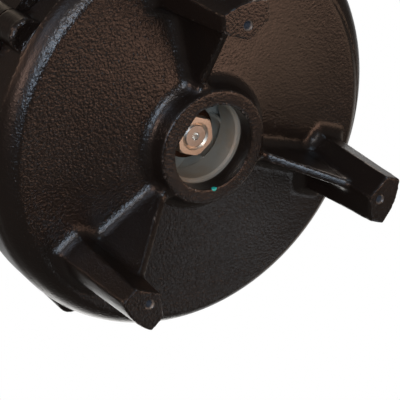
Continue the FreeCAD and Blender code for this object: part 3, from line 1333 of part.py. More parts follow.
def make_cable_entry():
    """Cable gland: body, nut and grommet."""
    base = d.cover_top + d.entry_boss_height
    far = d.entry_distance
    neck = base + d.gland_hex_height
    body = Piece("cable_gland_body")
    body.pad(hexagon(body, d.gland_hex, base, far), d.gland_hex_height)
    turned_corners(body, d.gland_hex, neck, far)
    body.pad(body.ring("XY_Plane", d.gland_thread, far, 0, base), d.entry_boss_height + d.cover_wall, down=True)
    body.pad(body.ring("XY_Plane", d.gland_thread, far, 0, neck), d.gland_neck)
    body.pocket(body.ring("XY_Plane", d.grommet_radius - 2, far, 0, neck + d.gland_neck), 60)
    body.pocket(body.ring("XY_Plane", d.grommet_radius + 0.1, far, 0, neck + d.gland_neck), d.gland_neck + 3)
    nut = Piece("cable_gland_nut")
    low = neck + 0.5
    nut.pad(hexagon(nut, d.gland_hex, low, far), d.gland_nut_height)
    turned_corners(nut, d.gland_hex, low + d.gland_nut_height, far, drop=1.2)
    nut.pocket(nut.ring("XY_Plane", d.gland_nut_bore, far, 0, low + d.gland_nut_height), d.gland_nut_height)
    nut.pocket(nut.ring("XY_Plane", d.gland_thread + d.thread_play, far, 0, low), d.gland_neck, up=True)
    grommet = Piece("cable_grommet")
    floor = neck - 3 + 0.05
    ring = grommet.ring("XY_Plane", d.grommet_radius, far, 0, floor, hole=d.grommet_bore)
    grommet.pad(ring, d.gland_neck + 3.3)


def make_oil_plug():
    """Oil filler plug and its sealing washer."""
    base = d.cover_top + d.plug_boss_height
    rest = base + d.plug_washer_height
    plug = Piece("oil_plug")
    top = rest + d.plug_collar
    plug.pad(plug.ring("XY_Plane", d.plug_head_radius, d.plug_distance, 0, rest, 180), d.plug_collar)
    plug.pad(hexagon(plug, d.plug_hex, top, d.plug_distance, 180), d.plug_hex_height)
    turned_corners(plug, d.plug_hex, top + d.plug_hex_height, d.plug_distance, 180)
    plug.pad(plug.ring("XY_Plane", d.plug_thread, d.plug_distance, 0, rest, 180), d.plug_reach, down=True)
    washer = Piece("oil_plug_washer")
    washer.pad(washer.ring("XY_Plane", d.plug_head_radius, d.plug_distance, 0, base, 180,
                           hole=d.plug_thread + 0.3), d.plug_washer_height)


def make_wiring():
    """Capacitor with its clamp, and the terminal block, on the wiring chamber's floor."""
    floor = d.wiring_floor
    far = d.capacitor_distance
    soft = d.capacitor_rim
    high = floor + d.capacitor_height
    can = Piece("capacitor")
    outline = can.outline("XZ_Plane", 0, 180)
    outline.start(far, floor).line(far + d.capacitor_radius - soft, floor)
    outline.arc(far + d.capacitor_radius, floor + soft, soft).line(far + d.capacitor_radius, high - soft)
    outline.arc(far + d.capacitor_radius - soft, high, soft).line(far, high)
    sketch = outline.close()
    add_axis(sketch, far)
    can.revolve(sketch, axis="Axis0")
    for side in (-6, 4):
        can.pad(box_outline(can, "XY_Plane", far - 3, far + 3, side, side + 0.8, lift=high - 1, turn=180), 8)
    clamp = Piece("capacitor_clamp")
    inner = d.capacitor_radius + d.clamp_play
    low = floor + d.clamp_lift
    ring = clamp.ring("XY_Plane", inner + d.clamp_wall, far, 0, low, 180, hole=inner)
    clamp.pad(ring, d.clamp_height)
    edge = far + inner + 0.2
    half = d.clamp_half_width
    clamp.pad(box_outline(clamp, "XY_Plane", edge, edge + d.clamp_wall, -half, half, floor, 180),
              d.clamp_lift + d.clamp_height)
    clamp.pad(box_outline(clamp, "XY_Plane", edge, edge + d.clamp_foot, -half, half, floor, 180), d.clamp_wall)
    hole = far + d.capacitor_radius + d.clamp_foot / 2 + 1
    clamp.pocket(clamp.ring("XY_Plane", d.clamp_screw_radius + 0.3, hole, 0, floor + d.clamp_wall, 180),
                 d.clamp_wall)
    screw = Piece("clamp_screw")
    rest = floor + d.clamp_wall
    screw.pad(screw.ring("XY_Plane", d.clamp_screw_head, hole, 0, rest, 180), d.clamp_screw_height)
    screw.pad(screw.ring("XY_Plane", d.clamp_screw_radius, hole, 0, rest, 180),
              d.clamp_wall + d.clamp_screw_reach - 1, down=True)
    screw.pocket(box_outline(screw, "XY_Plane", hole - 5, hole + 5, -0.5, 0.5, rest + d.clamp_screw_height, 180), 1.2)
    block = Piece("terminal_block")
    near = d.block_distance - d.block_half_width
    block.pad(box_outline(block, "XY_Plane", near, near + d.block_half_width * 2, -d.block_half_length,
                          d.block_half_length, floor), d.block_height - d.block_step)
    block.pad(box_outline(block, "XY_Plane", near + 3, near + d.block_half_width * 2 - 3,
                          -d.block_half_length, d.block_half_length, floor + 2), d.block_height - 2)
    screws = Piece("terminal_screws")
    top = floor + d.block_height
    for i in range(TERMINALS):
        place = d.terminal_pitch * (i - (TERMINALS - 1) / 2)
        block.pocket(block.ring("XY_Plane", d.terminal_head + 0.3, d.block_distance, place, top),
                     d.terminal_head_height)
        block.pocket(block.ring("XY_Plane", d.terminal_radius + d.thread_play, d.block_distance, place, top),
                     d.terminal_reach + d.terminal_head_height)
        rest = top - d.terminal_head_height
        screws.pad(screws.ring("XY_Plane", d.terminal_head, d.block_distance, place, rest),
                   d.terminal_head_height)
        screws.pad(screws.ring("XY_Plane", d.terminal_radius, d.block_distance, place, rest),
                   d.terminal_reach - 0.5, down=True)
    slot = box_outline(screws, "XY_Plane", d.block_distance - 0.5, d.block_distance + 0.5,
                       -d.terminal_pitch - 5, d.terminal_pitch + 5, top)
    screws.pocket(slot, 0.9)


def finish():
    """Checks every object, then writes one file per sub-part."""
    doc.recompute()
    for thing in doc.Objects:
        if "Invalid" in thing.State or "Error" in thing.State:
            raise RuntimeError(f"{thing.Name}: {thing.State}")
    os.makedirs("parts", exist_ok=True)
    for body in PIECES:
        shape = body.Shape
        if shape.isNull() or not shape.isValid():
            raise RuntimeError(f"{body.Name}: shape is not valid")
        shape.exportStep(f"parts/{body.Label}.step")
        print(body.Name, len(shape.Solids), len(shape.Faces), round(shape.Volume, 1))


make_casing()
make_impeller()
make_impeller_key()
make_impeller_washer()
make_impeller_nut()
make_shaft()
make_rotor_core()
make_rotor_end_rings()
groove = d.journal_radius - d.clip_depth + d.clip_play
retaining_ring("shaft_retaining_ring", groove, groove + d.clip_width,
               d.lower_bearing_floor - d.clip_thickness - d.clip_play / 2, 200)
groove = d.lower_bearing_outer + d.clip_depth - d.clip_play
retaining_ring("bearing_retaining_ring", groove - d.clip_width, groove,
               d.lower_bearing_floor + d.lower_bearing_width + d.clip_play / 2, 30)
make_spring()
make_seal()
make_seal_plate()
o_ring("casing_o_ring", d.cover_opening, d.casing_top - d.casing_ring_drop)
o_ring("housing_o_ring", d.housing_register, d.casing_top + d.plate_thickness + d.register_height / 2)
make_casing_screws()
make_motor_housing()
make_stator()
make_bearing("lower_bearing", d.journal_radius, d.lower_bearing_outer, d.lower_bearing_floor,
             d.lower_bearing_width, d.lower_ball_radius)
make_bearing("upper_bearing", d.seat_radius, d.upper_bearing_outer, d.upper_bearing_floor,
             d.upper_bearing_width, d.upper_ball_radius)
make_preload_washer()
make_cover()
make_handle()
make_cable_entry()
make_oil_plug()
make_wiring()
finish()
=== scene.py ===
"""Looks of the submersible pump: the CAD pieces with their finishes, floor, lamps and camera.

Metres, in the frame of the CAD: +Z up, the shaft turns about Z, the feet stand on z = 0.
"""
import json
import math

import bmesh
import bpy
import numpy as np
from mathutils import Matrix, Vector


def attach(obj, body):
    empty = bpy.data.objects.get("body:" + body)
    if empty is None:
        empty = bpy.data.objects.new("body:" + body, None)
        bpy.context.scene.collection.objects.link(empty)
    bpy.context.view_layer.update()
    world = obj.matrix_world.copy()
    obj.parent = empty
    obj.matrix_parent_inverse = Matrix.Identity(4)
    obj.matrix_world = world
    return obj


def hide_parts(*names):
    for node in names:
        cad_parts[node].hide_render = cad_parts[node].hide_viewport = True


# Camera, below the feet and looking up at the underside
CAMERA_PLACE = Vector((0.41887, -0.38666, -0.60653))
FOCAL_LENGTH = 129.4
# The photograph's right, up and towards-the-camera directions
PHOTO_RIGHT = Vector((-0.104833, 0.832954, -0.543321))
PHOTO_UP = Vector((0.853026, 0.356163, 0.381437))
PHOTO_NEAR = Vector((0.511231, -0.423480, -0.747869))
SENSOR = 36.0
# How nearly a glossy ray has to go away from the camera to see the white backdrop: from none of it to all
BACKDROP_EDGE = (0.75, 1.0)

# Casting: grids of its fillets and of its surface, radius of the fillets, how far the filleted copy is
# shrunk below the source's surface, and rounds of softening
COARSE = 0.0016
VOXEL = 0.0011
FILLET = 0.005
FILLET_SINK = 0.00015
SOFTENING = 3
# Axis of the outlet's port, and radius of the circle through the foot holes
OUTLET = (0.167296, 0.044463)
FOOT_CIRCLE = 0.0973
# Heights and radii of a foot's hole, from its chamfer up
FOOT_HOLE = ((-0.002, 0.0053), (0.0008, 0.0025), (0.012, 0.0025))
# Flat on the inlet's lip: its azimuth in degrees and its distance from the axis
LIP_TURN = -42.5
LIP_FLAT = 0.0254
LIP_RADII = (0.024, 0.0296)
LIP_HEIGHT = 0.0035
LIP_DEPTH = 0.003
# Machined bores: each cutter reaches a little into the one before it
INLET_RADIUS = 0.0274
INLET_FROM = 0.045
COLLAR_FACE = 0.0513
INLET_TOP = 0.0635
EYE_RADIUS = 0.02935
EYE_TOP = 0.0785
PORT_RADIUS = 0.0293
PORT_SPAN = (0.124, 0.155)
REACH = 0.0001
# Heights between which the bosses meet the wall without a fillet
SHARP_LOW = 0.085
SHARP_HIGH = 0.106
SHARP_FADE = 0.003
SHARP_DEPTH = 0.0024
# The rim's bowl: where the underside breaks into it, the arc that leads up its wall, and its top edge
RIM_BREAK = (0.1216, 0.0700)
RIM_ARC = 0.018
RIM_WALL = 0.1328
RIM_TOP = 0.0825
# Where the underside's cone starts to run out and where it meets the flat, and its height at the start
CONE = (0.080, 0.096)
CONE_HEIGHT = 0.0684
# Fleck of paint on the inlet's lip
FLECK = (-0.0272, -0.0029, 0.0519)
NUT_WEAR = 0.0004
FLOOR_HALF = 2.5
FLOOR_HEIGHT = -0.0005
# What the lamps point at
LAMP_TARGET = Vector((0, 0, 0.07))

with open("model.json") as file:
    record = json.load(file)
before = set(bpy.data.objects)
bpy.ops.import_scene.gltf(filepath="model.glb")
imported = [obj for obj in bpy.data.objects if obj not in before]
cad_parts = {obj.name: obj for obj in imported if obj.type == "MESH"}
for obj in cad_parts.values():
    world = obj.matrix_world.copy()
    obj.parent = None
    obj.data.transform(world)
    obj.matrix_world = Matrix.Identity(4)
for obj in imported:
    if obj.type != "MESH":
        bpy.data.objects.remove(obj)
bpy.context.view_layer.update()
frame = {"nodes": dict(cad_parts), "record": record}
nodes = frame["nodes"]


class Tree:
    """Short ways to make and link the nodes of one tree."""

    def __init__(self, tree):
        self.tree = tree

    def add(self, kind, **inputs):
        node = self.tree.nodes.new(kind)
        for key, value in inputs.items():
            node.inputs[key.replace("_", " ")].default_value = value
        return node

    def link(self, out, into):
        self.tree.links.new(out, into)

    def ramp(self, value, low, high, start=0.0, end=1.0):
        """Value mapped from low..high to start..end, and held there outside."""
        node = self.add("ShaderNodeMapRange", From_Min=low, From_Max=high, To_Min=start, To_Max=end)
        node.clamp = True
        self.link(value, node.inputs["Value"])
        return node.outputs["Result"]

    def maths(self, operation, a, b):
        node = self.add("ShaderNodeMath")
        node.operation = operation
        for value, socket in ((a, node.inputs[0]), (b, node.inputs[1])):
            if isinstance(value, (int, float)):
                socket.default_value = value
            else:
                self.link(value, socket)
        return node.outputs[0]

    def vector_maths(self, operation, a, b):
        """The number that comes of a linked vector and a given one."""
        node = self.add("ShaderNodeVectorMath")
        node.operation = operation
        self.link(a, node.inputs[0])
        node.inputs[1].default_value = b
        return node.outputs["Value"]

    def blend(self, factor, a, b):
        """Shader a where the factor is 0, b where it is 1."""
        node = self.add("ShaderNodeMixShader")
        for out, socket in zip((factor, a.outputs[0], b.outputs[0]), node.inputs):
            self.link(out, socket)
        return node.outputs[0]


class Nodes(Tree):
    """The shader nodes of one material."""

    def __init__(self, name, tint):
        self.material = bpy.data.materials.new(name)
        self.material.use_nodes = True
        self.material.diffuse_color = (*tint, 1)
        super().__init__(self.material.node_tree)
        self.shader = self.tree.nodes["Principled BSDF"]
        self.object_place = self.add("ShaderNodeTexCoord").outputs["Object"]

    def noise(self, scale, detail=2.0, roughness=0.5, stretch=None):
        """Noise from 0 to 1, with that many grains to the metre."""
        node = self.add("ShaderNodeTexNoise", Scale=scale, Detail=detail, Roughness=roughness)
        place = self.object_place
        if stretch is not None:
            mapping = self.add("ShaderNodeMapping", Scale=stretch)
            self.link(place, mapping.inputs["Vector"])
            place = mapping.outputs["Vector"]
        self.link(place, node.inputs["Vector"])
        return node.outputs["Fac"]

    def cells(self, scale):
        """Distance from the middle of the nearest cell, with that many cells to the metre."""
        node = self.add("ShaderNodeTexVoronoi", Scale=scale)
        self.link(self.object_place, node.inputs["Vector"])
        return node.outputs["Distance"]

    def mix(self, factor, a, b):
        """Colour a where the factor is 0, b where it is 1."""
        node = self.add("ShaderNodeMix")
        node.data_type = "RGBA"
        self.link(factor, node.inputs[0])
        for value, socket in ((a, node.inputs[6]), (b, node.inputs[7])):
            if isinstance(value, tuple):
                socket.default_value = (*value, 1)
            else:
                self.link(value, socket)
        return node.outputs[2]

    def bump(self, height, distance, strength=1.0, normal=None):
        node = self.add("ShaderNodeBump", Distance=distance, Strength=strength)
        self.link(height, node.inputs["Height"])
        if normal is not None:
            self.link(normal, node.inputs["Normal"])
        return node.outputs["Normal"]

    def near(self, point, radius):
        """1 at a point, falling to 0 at the radius."""
        return self.ramp(self.vector_maths("DISTANCE", self.object_place, point), 0.0, radius, 1.0, 0.0)

    def colour(self, value):
        self.link(value, self.shader.inputs["Base Color"])

    def roughness(self, value):
        self.link(value, self.shader.inputs["Roughness"])

    def normal(self, value):
        self.link(value, self.shader.inputs["Normal"])

    def set(self, **inputs):
        for key, value in inputs.items():
            self.shader.inputs[key.replace("_", " ")].default_value = value


def foot_places():
    """Where the holes of the three feet are."""
    turns = [math.radians(120 * i) for i in range(3)]
    return [(FOOT_CIRCLE * math.cos(turn), FOOT_CIRCLE * math.sin(turn)) for turn in turns]


def painted_iron():
    """Black-brown enamel over a cast skin, rough on one side and smoother on the other, with worn edges."""
    m = Nodes("painted_iron", (0.04, 0.03, 0.027))
    mottle = m.noise(28, 3.0, 0.6)
    base = m.mix(m.ramp(mottle, 0.35, 0.7), (0.0095, 0.0066, 0.0052), (0.0125, 0.0086, 0.0066))
    # Lighter specks all over the colour: dust specks and painted glints that stand in for the shine of the
    # skin's grains
    dust_and_glint_specks = m.ramp(m.noise(1100, 2.0, 0.6), 0.72, 0.76)
    base = m.mix(dust_and_glint_specks, base, (0.16, 0.14, 0.125))
    fleck = m.maths("MULTIPLY", m.near(FLECK, 0.0024), m.ramp(m.noise(900, 2.0, 0.6), 0.3, 0.4))
    base = m.mix(m.ramp(fleck, 0.2, 0.3), base, (0.02, 0.55, 0.47))
    stand = m.add("ShaderNodeAttribute")
    stand.attribute_name = "stand"
    chips = m.maths("MULTIPLY", m.ramp(m.noise(520, 3.0, 0.7), 0.54, 0.64),
                    m.ramp(m.noise(70, 2.0, 0.6), 0.42, 0.6))
    worn = m.maths("MULTIPLY", m.ramp(stand.outputs["Fac"], 0.045, 0.11), chips)
    base = m.mix(worn, base, (0.20, 0.17, 0.15))
    for x, y in foot_places():
        # The bare inside of the hole, and the worn ring round it
        base = m.mix(m.ramp(m.near((x, y, 0.0065), 0.0075), 0.10, 0.2), base, (0.11, 0.12, 0.14))
        ring = m.ramp(m.near((x, y, 0.0), 0.0042), 0.2, 0.3)
        base = m.mix(m.maths("MULTIPLY", ring, m.ramp(chips, 0.0, 0.1, 0.35, 1.0)), base, (0.34, 0.28, 0.22))
    m.colour(base)
    place = m.add("ShaderNodeSeparateXYZ")
    m.link(m.object_place, place.inputs[0])
    drift = m.ramp(m.noise(11, 2.0, 0.5), 0.2, 0.8, -0.03, 0.03)
    side = m.ramp(m.maths("ADD", place.outputs["Y"], drift), -0.02, 0.05, 1.0, 0.34)
    geometry = m.add("ShaderNodeNewGeometry")
    facing = m.add("ShaderNodeSeparateXYZ")
    m.link(geometry.outputs["Normal"], facing.inputs[0])
    patches = m.maths("MULTIPLY", side, m.ramp(facing.outputs["Z"], -0.97, -0.66, 1.0, 0.35))
    gloss = m.ramp(m.noise(90, 3.0, 0.6), 0.3, 0.75, 0.20, 0.25)
    m.roughness(m.maths("ADD", gloss, m.ramp(facing.outputs["Z"], -0.97, -0.75, 0.0, 0.09)))
    rolling = m.bump(m.noise(60, 2.0, 0.5), 0.0005, 0.25)
    skin = m.bump(m.maths("MULTIPLY", m.noise(620, 2.0, 0.5), patches), 0.0005, 1.0, rolling)
    pimples = m.maths("MULTIPLY", m.ramp(m.cells(330), 0.10, 0.26, 1.0, 0.0), patches)
    pimpled = m.bump(pimples, 0.00015, 1.0, skin)
    m.normal(m.bump(m.noise(1100, 1.0, 0.5), 0.00004, 1.0, pimpled))
    return m.material


def grey_moulding():
    """Grey moulded impeller, satin, a little stained."""
    m = Nodes("grey_moulding", (0.26, 0.26, 0.235))
    stain = m.noise(60, 3.0, 0.6)
    m.colour(m.mix(m.ramp(stain, 0.45, 0.75), (0.36, 0.335, 0.28), (0.35, 0.28, 0.20)))
    m.roughness(m.ramp(m.noise(300, 2.0, 0.5), 0.3, 0.7, 0.36, 0.46))
    m.normal(m.bump(m.noise(900, 2.0, 0.5), 0.0001, 0.4))
    return m.material


def metal(name, light, dark, rough, grain=500.0, stretch=None, depth=0.00004):
    """Bare metal with a fine grain and slightly uneven gloss."""
    m = Nodes(name, light)
    marks = m.noise(grain, 3.0, 0.6, stretch)
    m.colour(m.mix(m.ramp(marks, 0.3, 0.75), light, dark))
    m.roughness(m.ramp(marks, 0.3, 0.7, rough * 0.8, rough * 1.25))
    m.normal(m.bump(marks, depth, 0.5))
    m.set(Metallic=1.0)
    return m.material


def dull(name, light, dark, rough, grain=400.0, depth=0.00008):
    """Rubber, plastic or fibre: one colour with a fine grain."""
    m = Nodes(name, light)
    marks = m.noise(grain, 2.0, 0.6)
    m.colour(m.mix(m.ramp(marks, 0.3, 0.7), light, dark))
    m.roughness(m.ramp(marks, 0.3, 0.7, rough * 0.9, min(1.0, rough * 1.15)))
    m.normal(m.bump(marks, depth, 0.5))
    return m.material


FINISHES = {
    "painted_iron": painted_iron(),
    "grey_moulding": grey_moulding(),
    "nut_steel": metal("nut_steel", (0.95, 0.86, 0.73), (0.86, 0.75, 0.62), 0.42, 900),
    "stainless": metal("stainless", (0.74, 0.69, 0.62), (0.64, 0.6, 0.54), 0.34, 300, depth=0.00001),
    # Bronze darkened to near black: its darkness is painted shade of the recess behind the nut where it sits
    "bronze": metal("bronze", (0.045, 0.028, 0.019), (0.025, 0.016, 0.011), 0.5, 400),
    "black_rubber": dull("black_rubber", (0.022, 0.022, 0.023), (0.015, 0.015, 0.016), 0.7),
    "gasket": dull("gasket", (0.10, 0.075, 0.05), (0.06, 0.045, 0.03), 0.85, 900),
    "laminations": metal("laminations", (0.26, 0.26, 0.27), (0.17, 0.16, 0.16), 0.45, 300, (1, 1, 7)),
    "cast_aluminium": metal("cast_aluminium", (0.66, 0.66, 0.67), (0.5, 0.5, 0.51), 0.45, 350),
    "copper": metal("copper", (0.62, 0.27, 0.10), (0.36, 0.13, 0.05), 0.35, 500, (1, 1, 3)),
    "copper_washer": metal("copper_washer", (0.68, 0.33, 0.17), (0.5, 0.23, 0.11), 0.32, 500),
    "carbon": dull("carbon", (0.03, 0.03, 0.033), (0.02, 0.02, 0.022), 0.35, 800, 0.00002),
    "ceramic": dull("ceramic", (0.76, 0.74, 0.69), (0.7, 0.68, 0.63), 0.25, 500, 0.00001),
    "bearing_steel": metal("bearing_steel", (0.66, 0.66, 0.67), (0.58, 0.58, 0.59), 0.16, 600),
    "spring_steel": metal("spring_steel", (0.2, 0.2, 0.21), (0.13, 0.13, 0.13), 0.38, 600),
    "brass": metal("brass", (0.66, 0.47, 0.2), (0.5, 0.34, 0.13), 0.3, 500),
    "capacitor_can": metal("capacitor_can", (0.6, 0.6, 0.61), (0.5, 0.5, 0.51), 0.35, 400, (1, 1, 0.2)),
    "moulding_black": dull("moulding_black", (0.03, 0.03, 0.031), (0.022, 0.022, 0.023), 0.5),
}


def finish_nodes():
    """Gives every CAD node the finish of its material slot."""
    for part in frame["record"]["subparts"]:
        piece = nodes[part["node"]]
        piece.data.materials.clear()
        piece.data.materials.append(FINISHES[part["material_slot"]])


def wear_nut():
    """Rounds the nut's edges, so that they catch the light."""
    bevel = nodes["impeller_nut"].modifiers.new("worn", "BEVEL")
    bevel.width = NUT_WEAR
    bevel.segments = 3
    bevel.limit_method = "ANGLE"
    bevel.angle_limit = math.radians(20)


def add_object(name, data):
    obj = bpy.data.objects.new(name, data)
    bpy.context.scene.collection.objects.link(obj)
    return obj


def points(mesh, what="co"):
    """The places, or the normals, of the mesh's points: one row for each."""
    values = np.empty(len(mesh.vertices) * 3)
    mesh.vertices.foreach_get(what, values)
    return values.reshape(-1, 3)


def move_points(mesh, places):
    mesh.vertices.foreach_set("co", places.ravel())
    mesh.update()


def circle(radius, steps):
    """Points of a circle about the axis."""
    turns = [2 * math.pi * i / steps for i in range(steps)]
    return [(radius * math.cos(turn), radius * math.sin(turn)) for turn in turns]


def evaluated(obj):
    """The mesh of an object with its modifiers applied."""
    bpy.context.view_layer.update()
    graph = bpy.context.evaluated_depsgraph_get()
    return bpy.data.meshes.new_from_object(obj.evaluated_get(graph))


def displace(obj, amount):
    shift = obj.modifiers.new("shift", "DISPLACE")
    shift.direction = "NORMAL"
    shift.mid_level = 0.0
    shift.strength = amount


def remesh(obj, size):
    grid = obj.modifiers.new("grid", "REMESH")
    grid.mode = "VOXEL"
    grid.voxel_size = size
    grid.use_smooth_shade = True


def skin(bm, rings):
    """Joins closed rings of points one after the other, and closes the two ends."""
    rings = [[bm.verts.new(point) for point in ring] for ring in rings]
    faces = [bm.faces.new(list(reversed(rings[0]))), bm.faces.new(rings[-1])]
    count = len(rings[0])
    for near, far in zip(rings, rings[1:]):
        for i in range(count):
            j = (i + 1) % count
            faces.append(bm.faces.new((near[i], near[j], far[j], far[i])))
    bmesh.ops.recalc_face_normals(bm, faces=faces)


def make_cutter(name, rings):
    bm = bmesh.new()
    skin(bm, rings)
    mesh = bpy.data.meshes.new(name)
    bm.to_mesh(mesh)
    bm.free()
    return add_object(name, mesh)


def funnel(name, place, levels, steps=32):
    """An upright closed cutter of circles, given as heights and radii."""
    return make_cutter(name, [[(place[0] + x, place[1] + y, z) for x, y in circle(radius, steps)]
                              for z, radius in levels])


def cylinder(name, place, low, high, radius, steps=160, flat=None):
    """An upright closed cylinder to cut with; flat is the distance and azimuth of a flat side."""
    outline = []
    for across, along in circle(radius, steps):
        if flat is not None:
            side = Vector((math.cos(flat[1]), math.sin(flat[1])))
            over = max(0.0, side.dot((across, along)) - flat[0])
            across -= over * side.x
            along -= over * side.y
        outline.append((place[0] + across, place[1] + along))
    return make_cutter(name, [[(*point, z) for point in outline] for z in (low, high)])


def bare_corners(mesh):
    """Draws the fillets in under the skin between the bosses and the wall, where the casting has none."""
    places = points(mesh)
    height = places[:, 2]
    above = np.clip((height - SHARP_LOW) / SHARP_FADE, 0, 1)
    below = np.clip((SHARP_HIGH - height) / SHARP_FADE, 0, 1)
    places -= SHARP_DEPTH * (above * below)[:, None] * points(mesh, "normal")
    move_points(mesh, places)


def bowl_middle():
    """Radius and height of the middle of the bowl's arc."""
    radius, height = RIM_BREAK
    return RIM_WALL - RIM_ARC, height + math.sqrt(RIM_ARC ** 2 - (radius - RIM_WALL + RIM_ARC) ** 2)


def true_up(mesh):
    """Puts points of the bowl and the flat underside exactly on their surfaces, and runs the cone out."""
    places = points(mesh)
    underside = RIM_BREAK[1]
    reach = np.hypot(places[:, 0], places[:, 1])
    across, up = bowl_middle()
    ray = np.stack([reach - across, places[:, 2] - up], axis=1)
    length = np.linalg.norm(ray, axis=1)
    bowl = (reach > RIM_BREAK[0] + 0.0004) & (places[:, 2] < RIM_TOP - 0.0006)
    bowl &= np.abs(length - RIM_ARC) < 0.00045
    trued = np.array([across, up]) + ray * (RIM_ARC / np.maximum(length, 1e-9))[:, None]
    scale = np.where(bowl, trued[:, 0] / np.maximum(reach, 1e-9), 1.0)
    places[:, :2] *= scale[:, None]
    places[:, 2] = np.where(bowl, trued[:, 1], places[:, 2])
    flat = (reach > CONE[1]) & (reach < RIM_BREAK[0] - 0.0006) & (np.abs(places[:, 2] - underside) < 0.00018)
    places[:, 2] = np.where(flat, underside, places[:, 2])
    # The cone runs out into the flat along a parabola
    start, corner = CONE
    end = 2 * corner - start
    slope = (underside - CONE_HEIGHT) / (corner - start)
    straight = np.minimum(CONE_HEIGHT + slope * (reach - start), underside)
    run = np.clip(reach - start, 0.0, end - start)
    rounded = CONE_HEIGHT + slope * run - slope * run ** 2 / (2 * (end - start))
    share = np.clip(1.0 - np.abs(places[:, 2] - straight) / 0.004, 0.0, 1.0) * (reach > start)
    places[:, 2] += share * (rounded - straight)
    move_points(mesh, places)


def add_bowl(bm, steps=240):
    """The rim's round bowl: a sharp break from the underside, then an arc up to an edge under the bosses."""
    underside = RIM_BREAK[1]
    middle = bowl_middle()
    first = math.asin((RIM_BREAK[0] - middle[0]) / RIM_ARC)
    last = math.acos((middle[1] - RIM_TOP + 0.0008) / RIM_ARC)
    section = [(0.0995, underside + 0.0035), (0.0995, underside), (0.112, underside)]
    for i in range(9):
        turn = first + (last - first) * i / 8
        section.append((middle[0] + RIM_ARC * math.sin(turn), middle[1] - RIM_ARC * math.cos(turn)))
    section += [(section[-1][0] - 0.0006, RIM_TOP), (0.124, RIM_TOP + 0.0015), (0.108, RIM_TOP + 0.002)]
    rings = [[bm.verts.new((radius * x, radius * y, z)) for radius, z in section]
             for x, y in circle(1.0, steps)]
    faces = []
    for near, far in zip(rings, rings[1:] + rings[:1]):
        for i in range(len(section)):
            j = (i + 1) % len(section)
            faces.append(bm.faces.new((near[i], near[j], far[j], far[i])))
    bmesh.ops.recalc_face_normals(bm, faces=faces)


def add_lip(bm):
    """The flat on the inlet's lip."""
    middle = math.radians(LIP_TURN)
    half = math.acos(LIP_FLAT / INLET_RADIUS)
    turns = [middle + half * i / 8 for i in range(-8, 9)]
    inner, outer = LIP_RADII
    outline = [(outer * math.cos(turn), outer * math.sin(turn)) for turn in turns]
    outline += [(inner * math.cos(turn), inner * math.sin(turn)) for turn in reversed(turns)]
    skin(bm, [[(*point, z) for point in outline] for z in (COLLAR_FACE, COLLAR_FACE + LIP_HEIGHT)])


def soften(mesh):
    """Evens out the grid's steps, and marks how far each point stands out or lies in."""
    count = len(mesh.vertices)
    places = points(mesh)
    edges = np.empty(len(mesh.edges) * 2, dtype=int)
    mesh.edges.foreach_get("vertices", edges)
    a, b = edges.reshape(-1, 2).T
    degree = np.bincount(a, minlength=count) + np.bincount(b, minlength=count)

    def around(values):
        total = np.empty_like(values)
        for axis in range(values.shape[1]):
            total[:, axis] = np.bincount(a, values[b, axis], count) + np.bincount(b, values[a, axis], count)
        return total / degree[:, None]

    for _ in range(SOFTENING):
        places += 0.6 * (around(places) - places)
        places -= 0.4 * (around(places) - places)
    move_points(mesh, places)
    stand = -np.einsum("ij,ij->i", around(places) - places, points(mesh, "normal"))[:, None]
    for _ in range(3):
        stand = 0.5 * stand + 0.5 * around(stand)
    field = mesh.attributes.new("stand", "FLOAT", "POINT")
    field.data.foreach_set("value", stand[:, 0] * 1000.0)


def make_casting():
    """The casing with a casting's fillets: grown, merged and shrunk again to round its inner corners."""
    source = nodes["volute_casing"]
    casting = add_object("casting", source.data.copy())
    remesh(casting, COARSE)
    displace(casting, FILLET)
    remesh(casting, COARSE)
    displace(casting, -FILLET - FILLET_SINK)
    rounded = evaluated(casting)
    casting.modifiers.clear()
    bare_corners(rounded)
    both = bmesh.new()
    both.from_mesh(source.data)
    both.from_mesh(rounded)
    add_bowl(both)
    add_lip(both)
    both.to_mesh(casting.data)
    both.free()
    remesh(casting, VOXEL)
    casting.data = evaluated(casting)
    casting.modifiers.clear()
    soften(casting.data)
    true_up(casting.data)
    # Machined bores and drilled holes, cut after the softening so that they stay crisp
    lip = (LIP_FLAT, math.radians(LIP_TURN))
    lip_top = COLLAR_FACE + LIP_DEPTH
    cutters = [cylinder("cut_lip", (0, 0), INLET_FROM, lip_top, INLET_RADIUS, flat=lip),
               cylinder("cut_inlet", (0, 0), lip_top - REACH, INLET_TOP, INLET_RADIUS),
               cylinder("cut_eye", (0, 0), INLET_TOP - REACH, EYE_TOP, EYE_RADIUS),
               cylinder("cut_port", OUTLET, *PORT_SPAN, PORT_RADIUS)]
    cutters += [funnel(f"cut_foot_{i}", place, FOOT_HOLE) for i, place in enumerate(foot_places())]
    for cutter in cutters:
        cut = casting.modifiers.new("cut", "BOOLEAN")
        cut.operation = "DIFFERENCE"
        cut.solver = "EXACT"
        cut.object = cutter
    casting.data = evaluated(casting)
    casting.modifiers.clear()
    for cutter in cutters:
        bpy.data.objects.remove(cutter)
    casting.data.shade_smooth()
    casting.data.set_sharp_from_angle(angle=math.radians(40))
    casting.data.materials.clear()
    casting.data.materials.append(FINISHES["painted_iron"])
    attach(casting, "pump_frame")
    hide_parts("volute_casing")


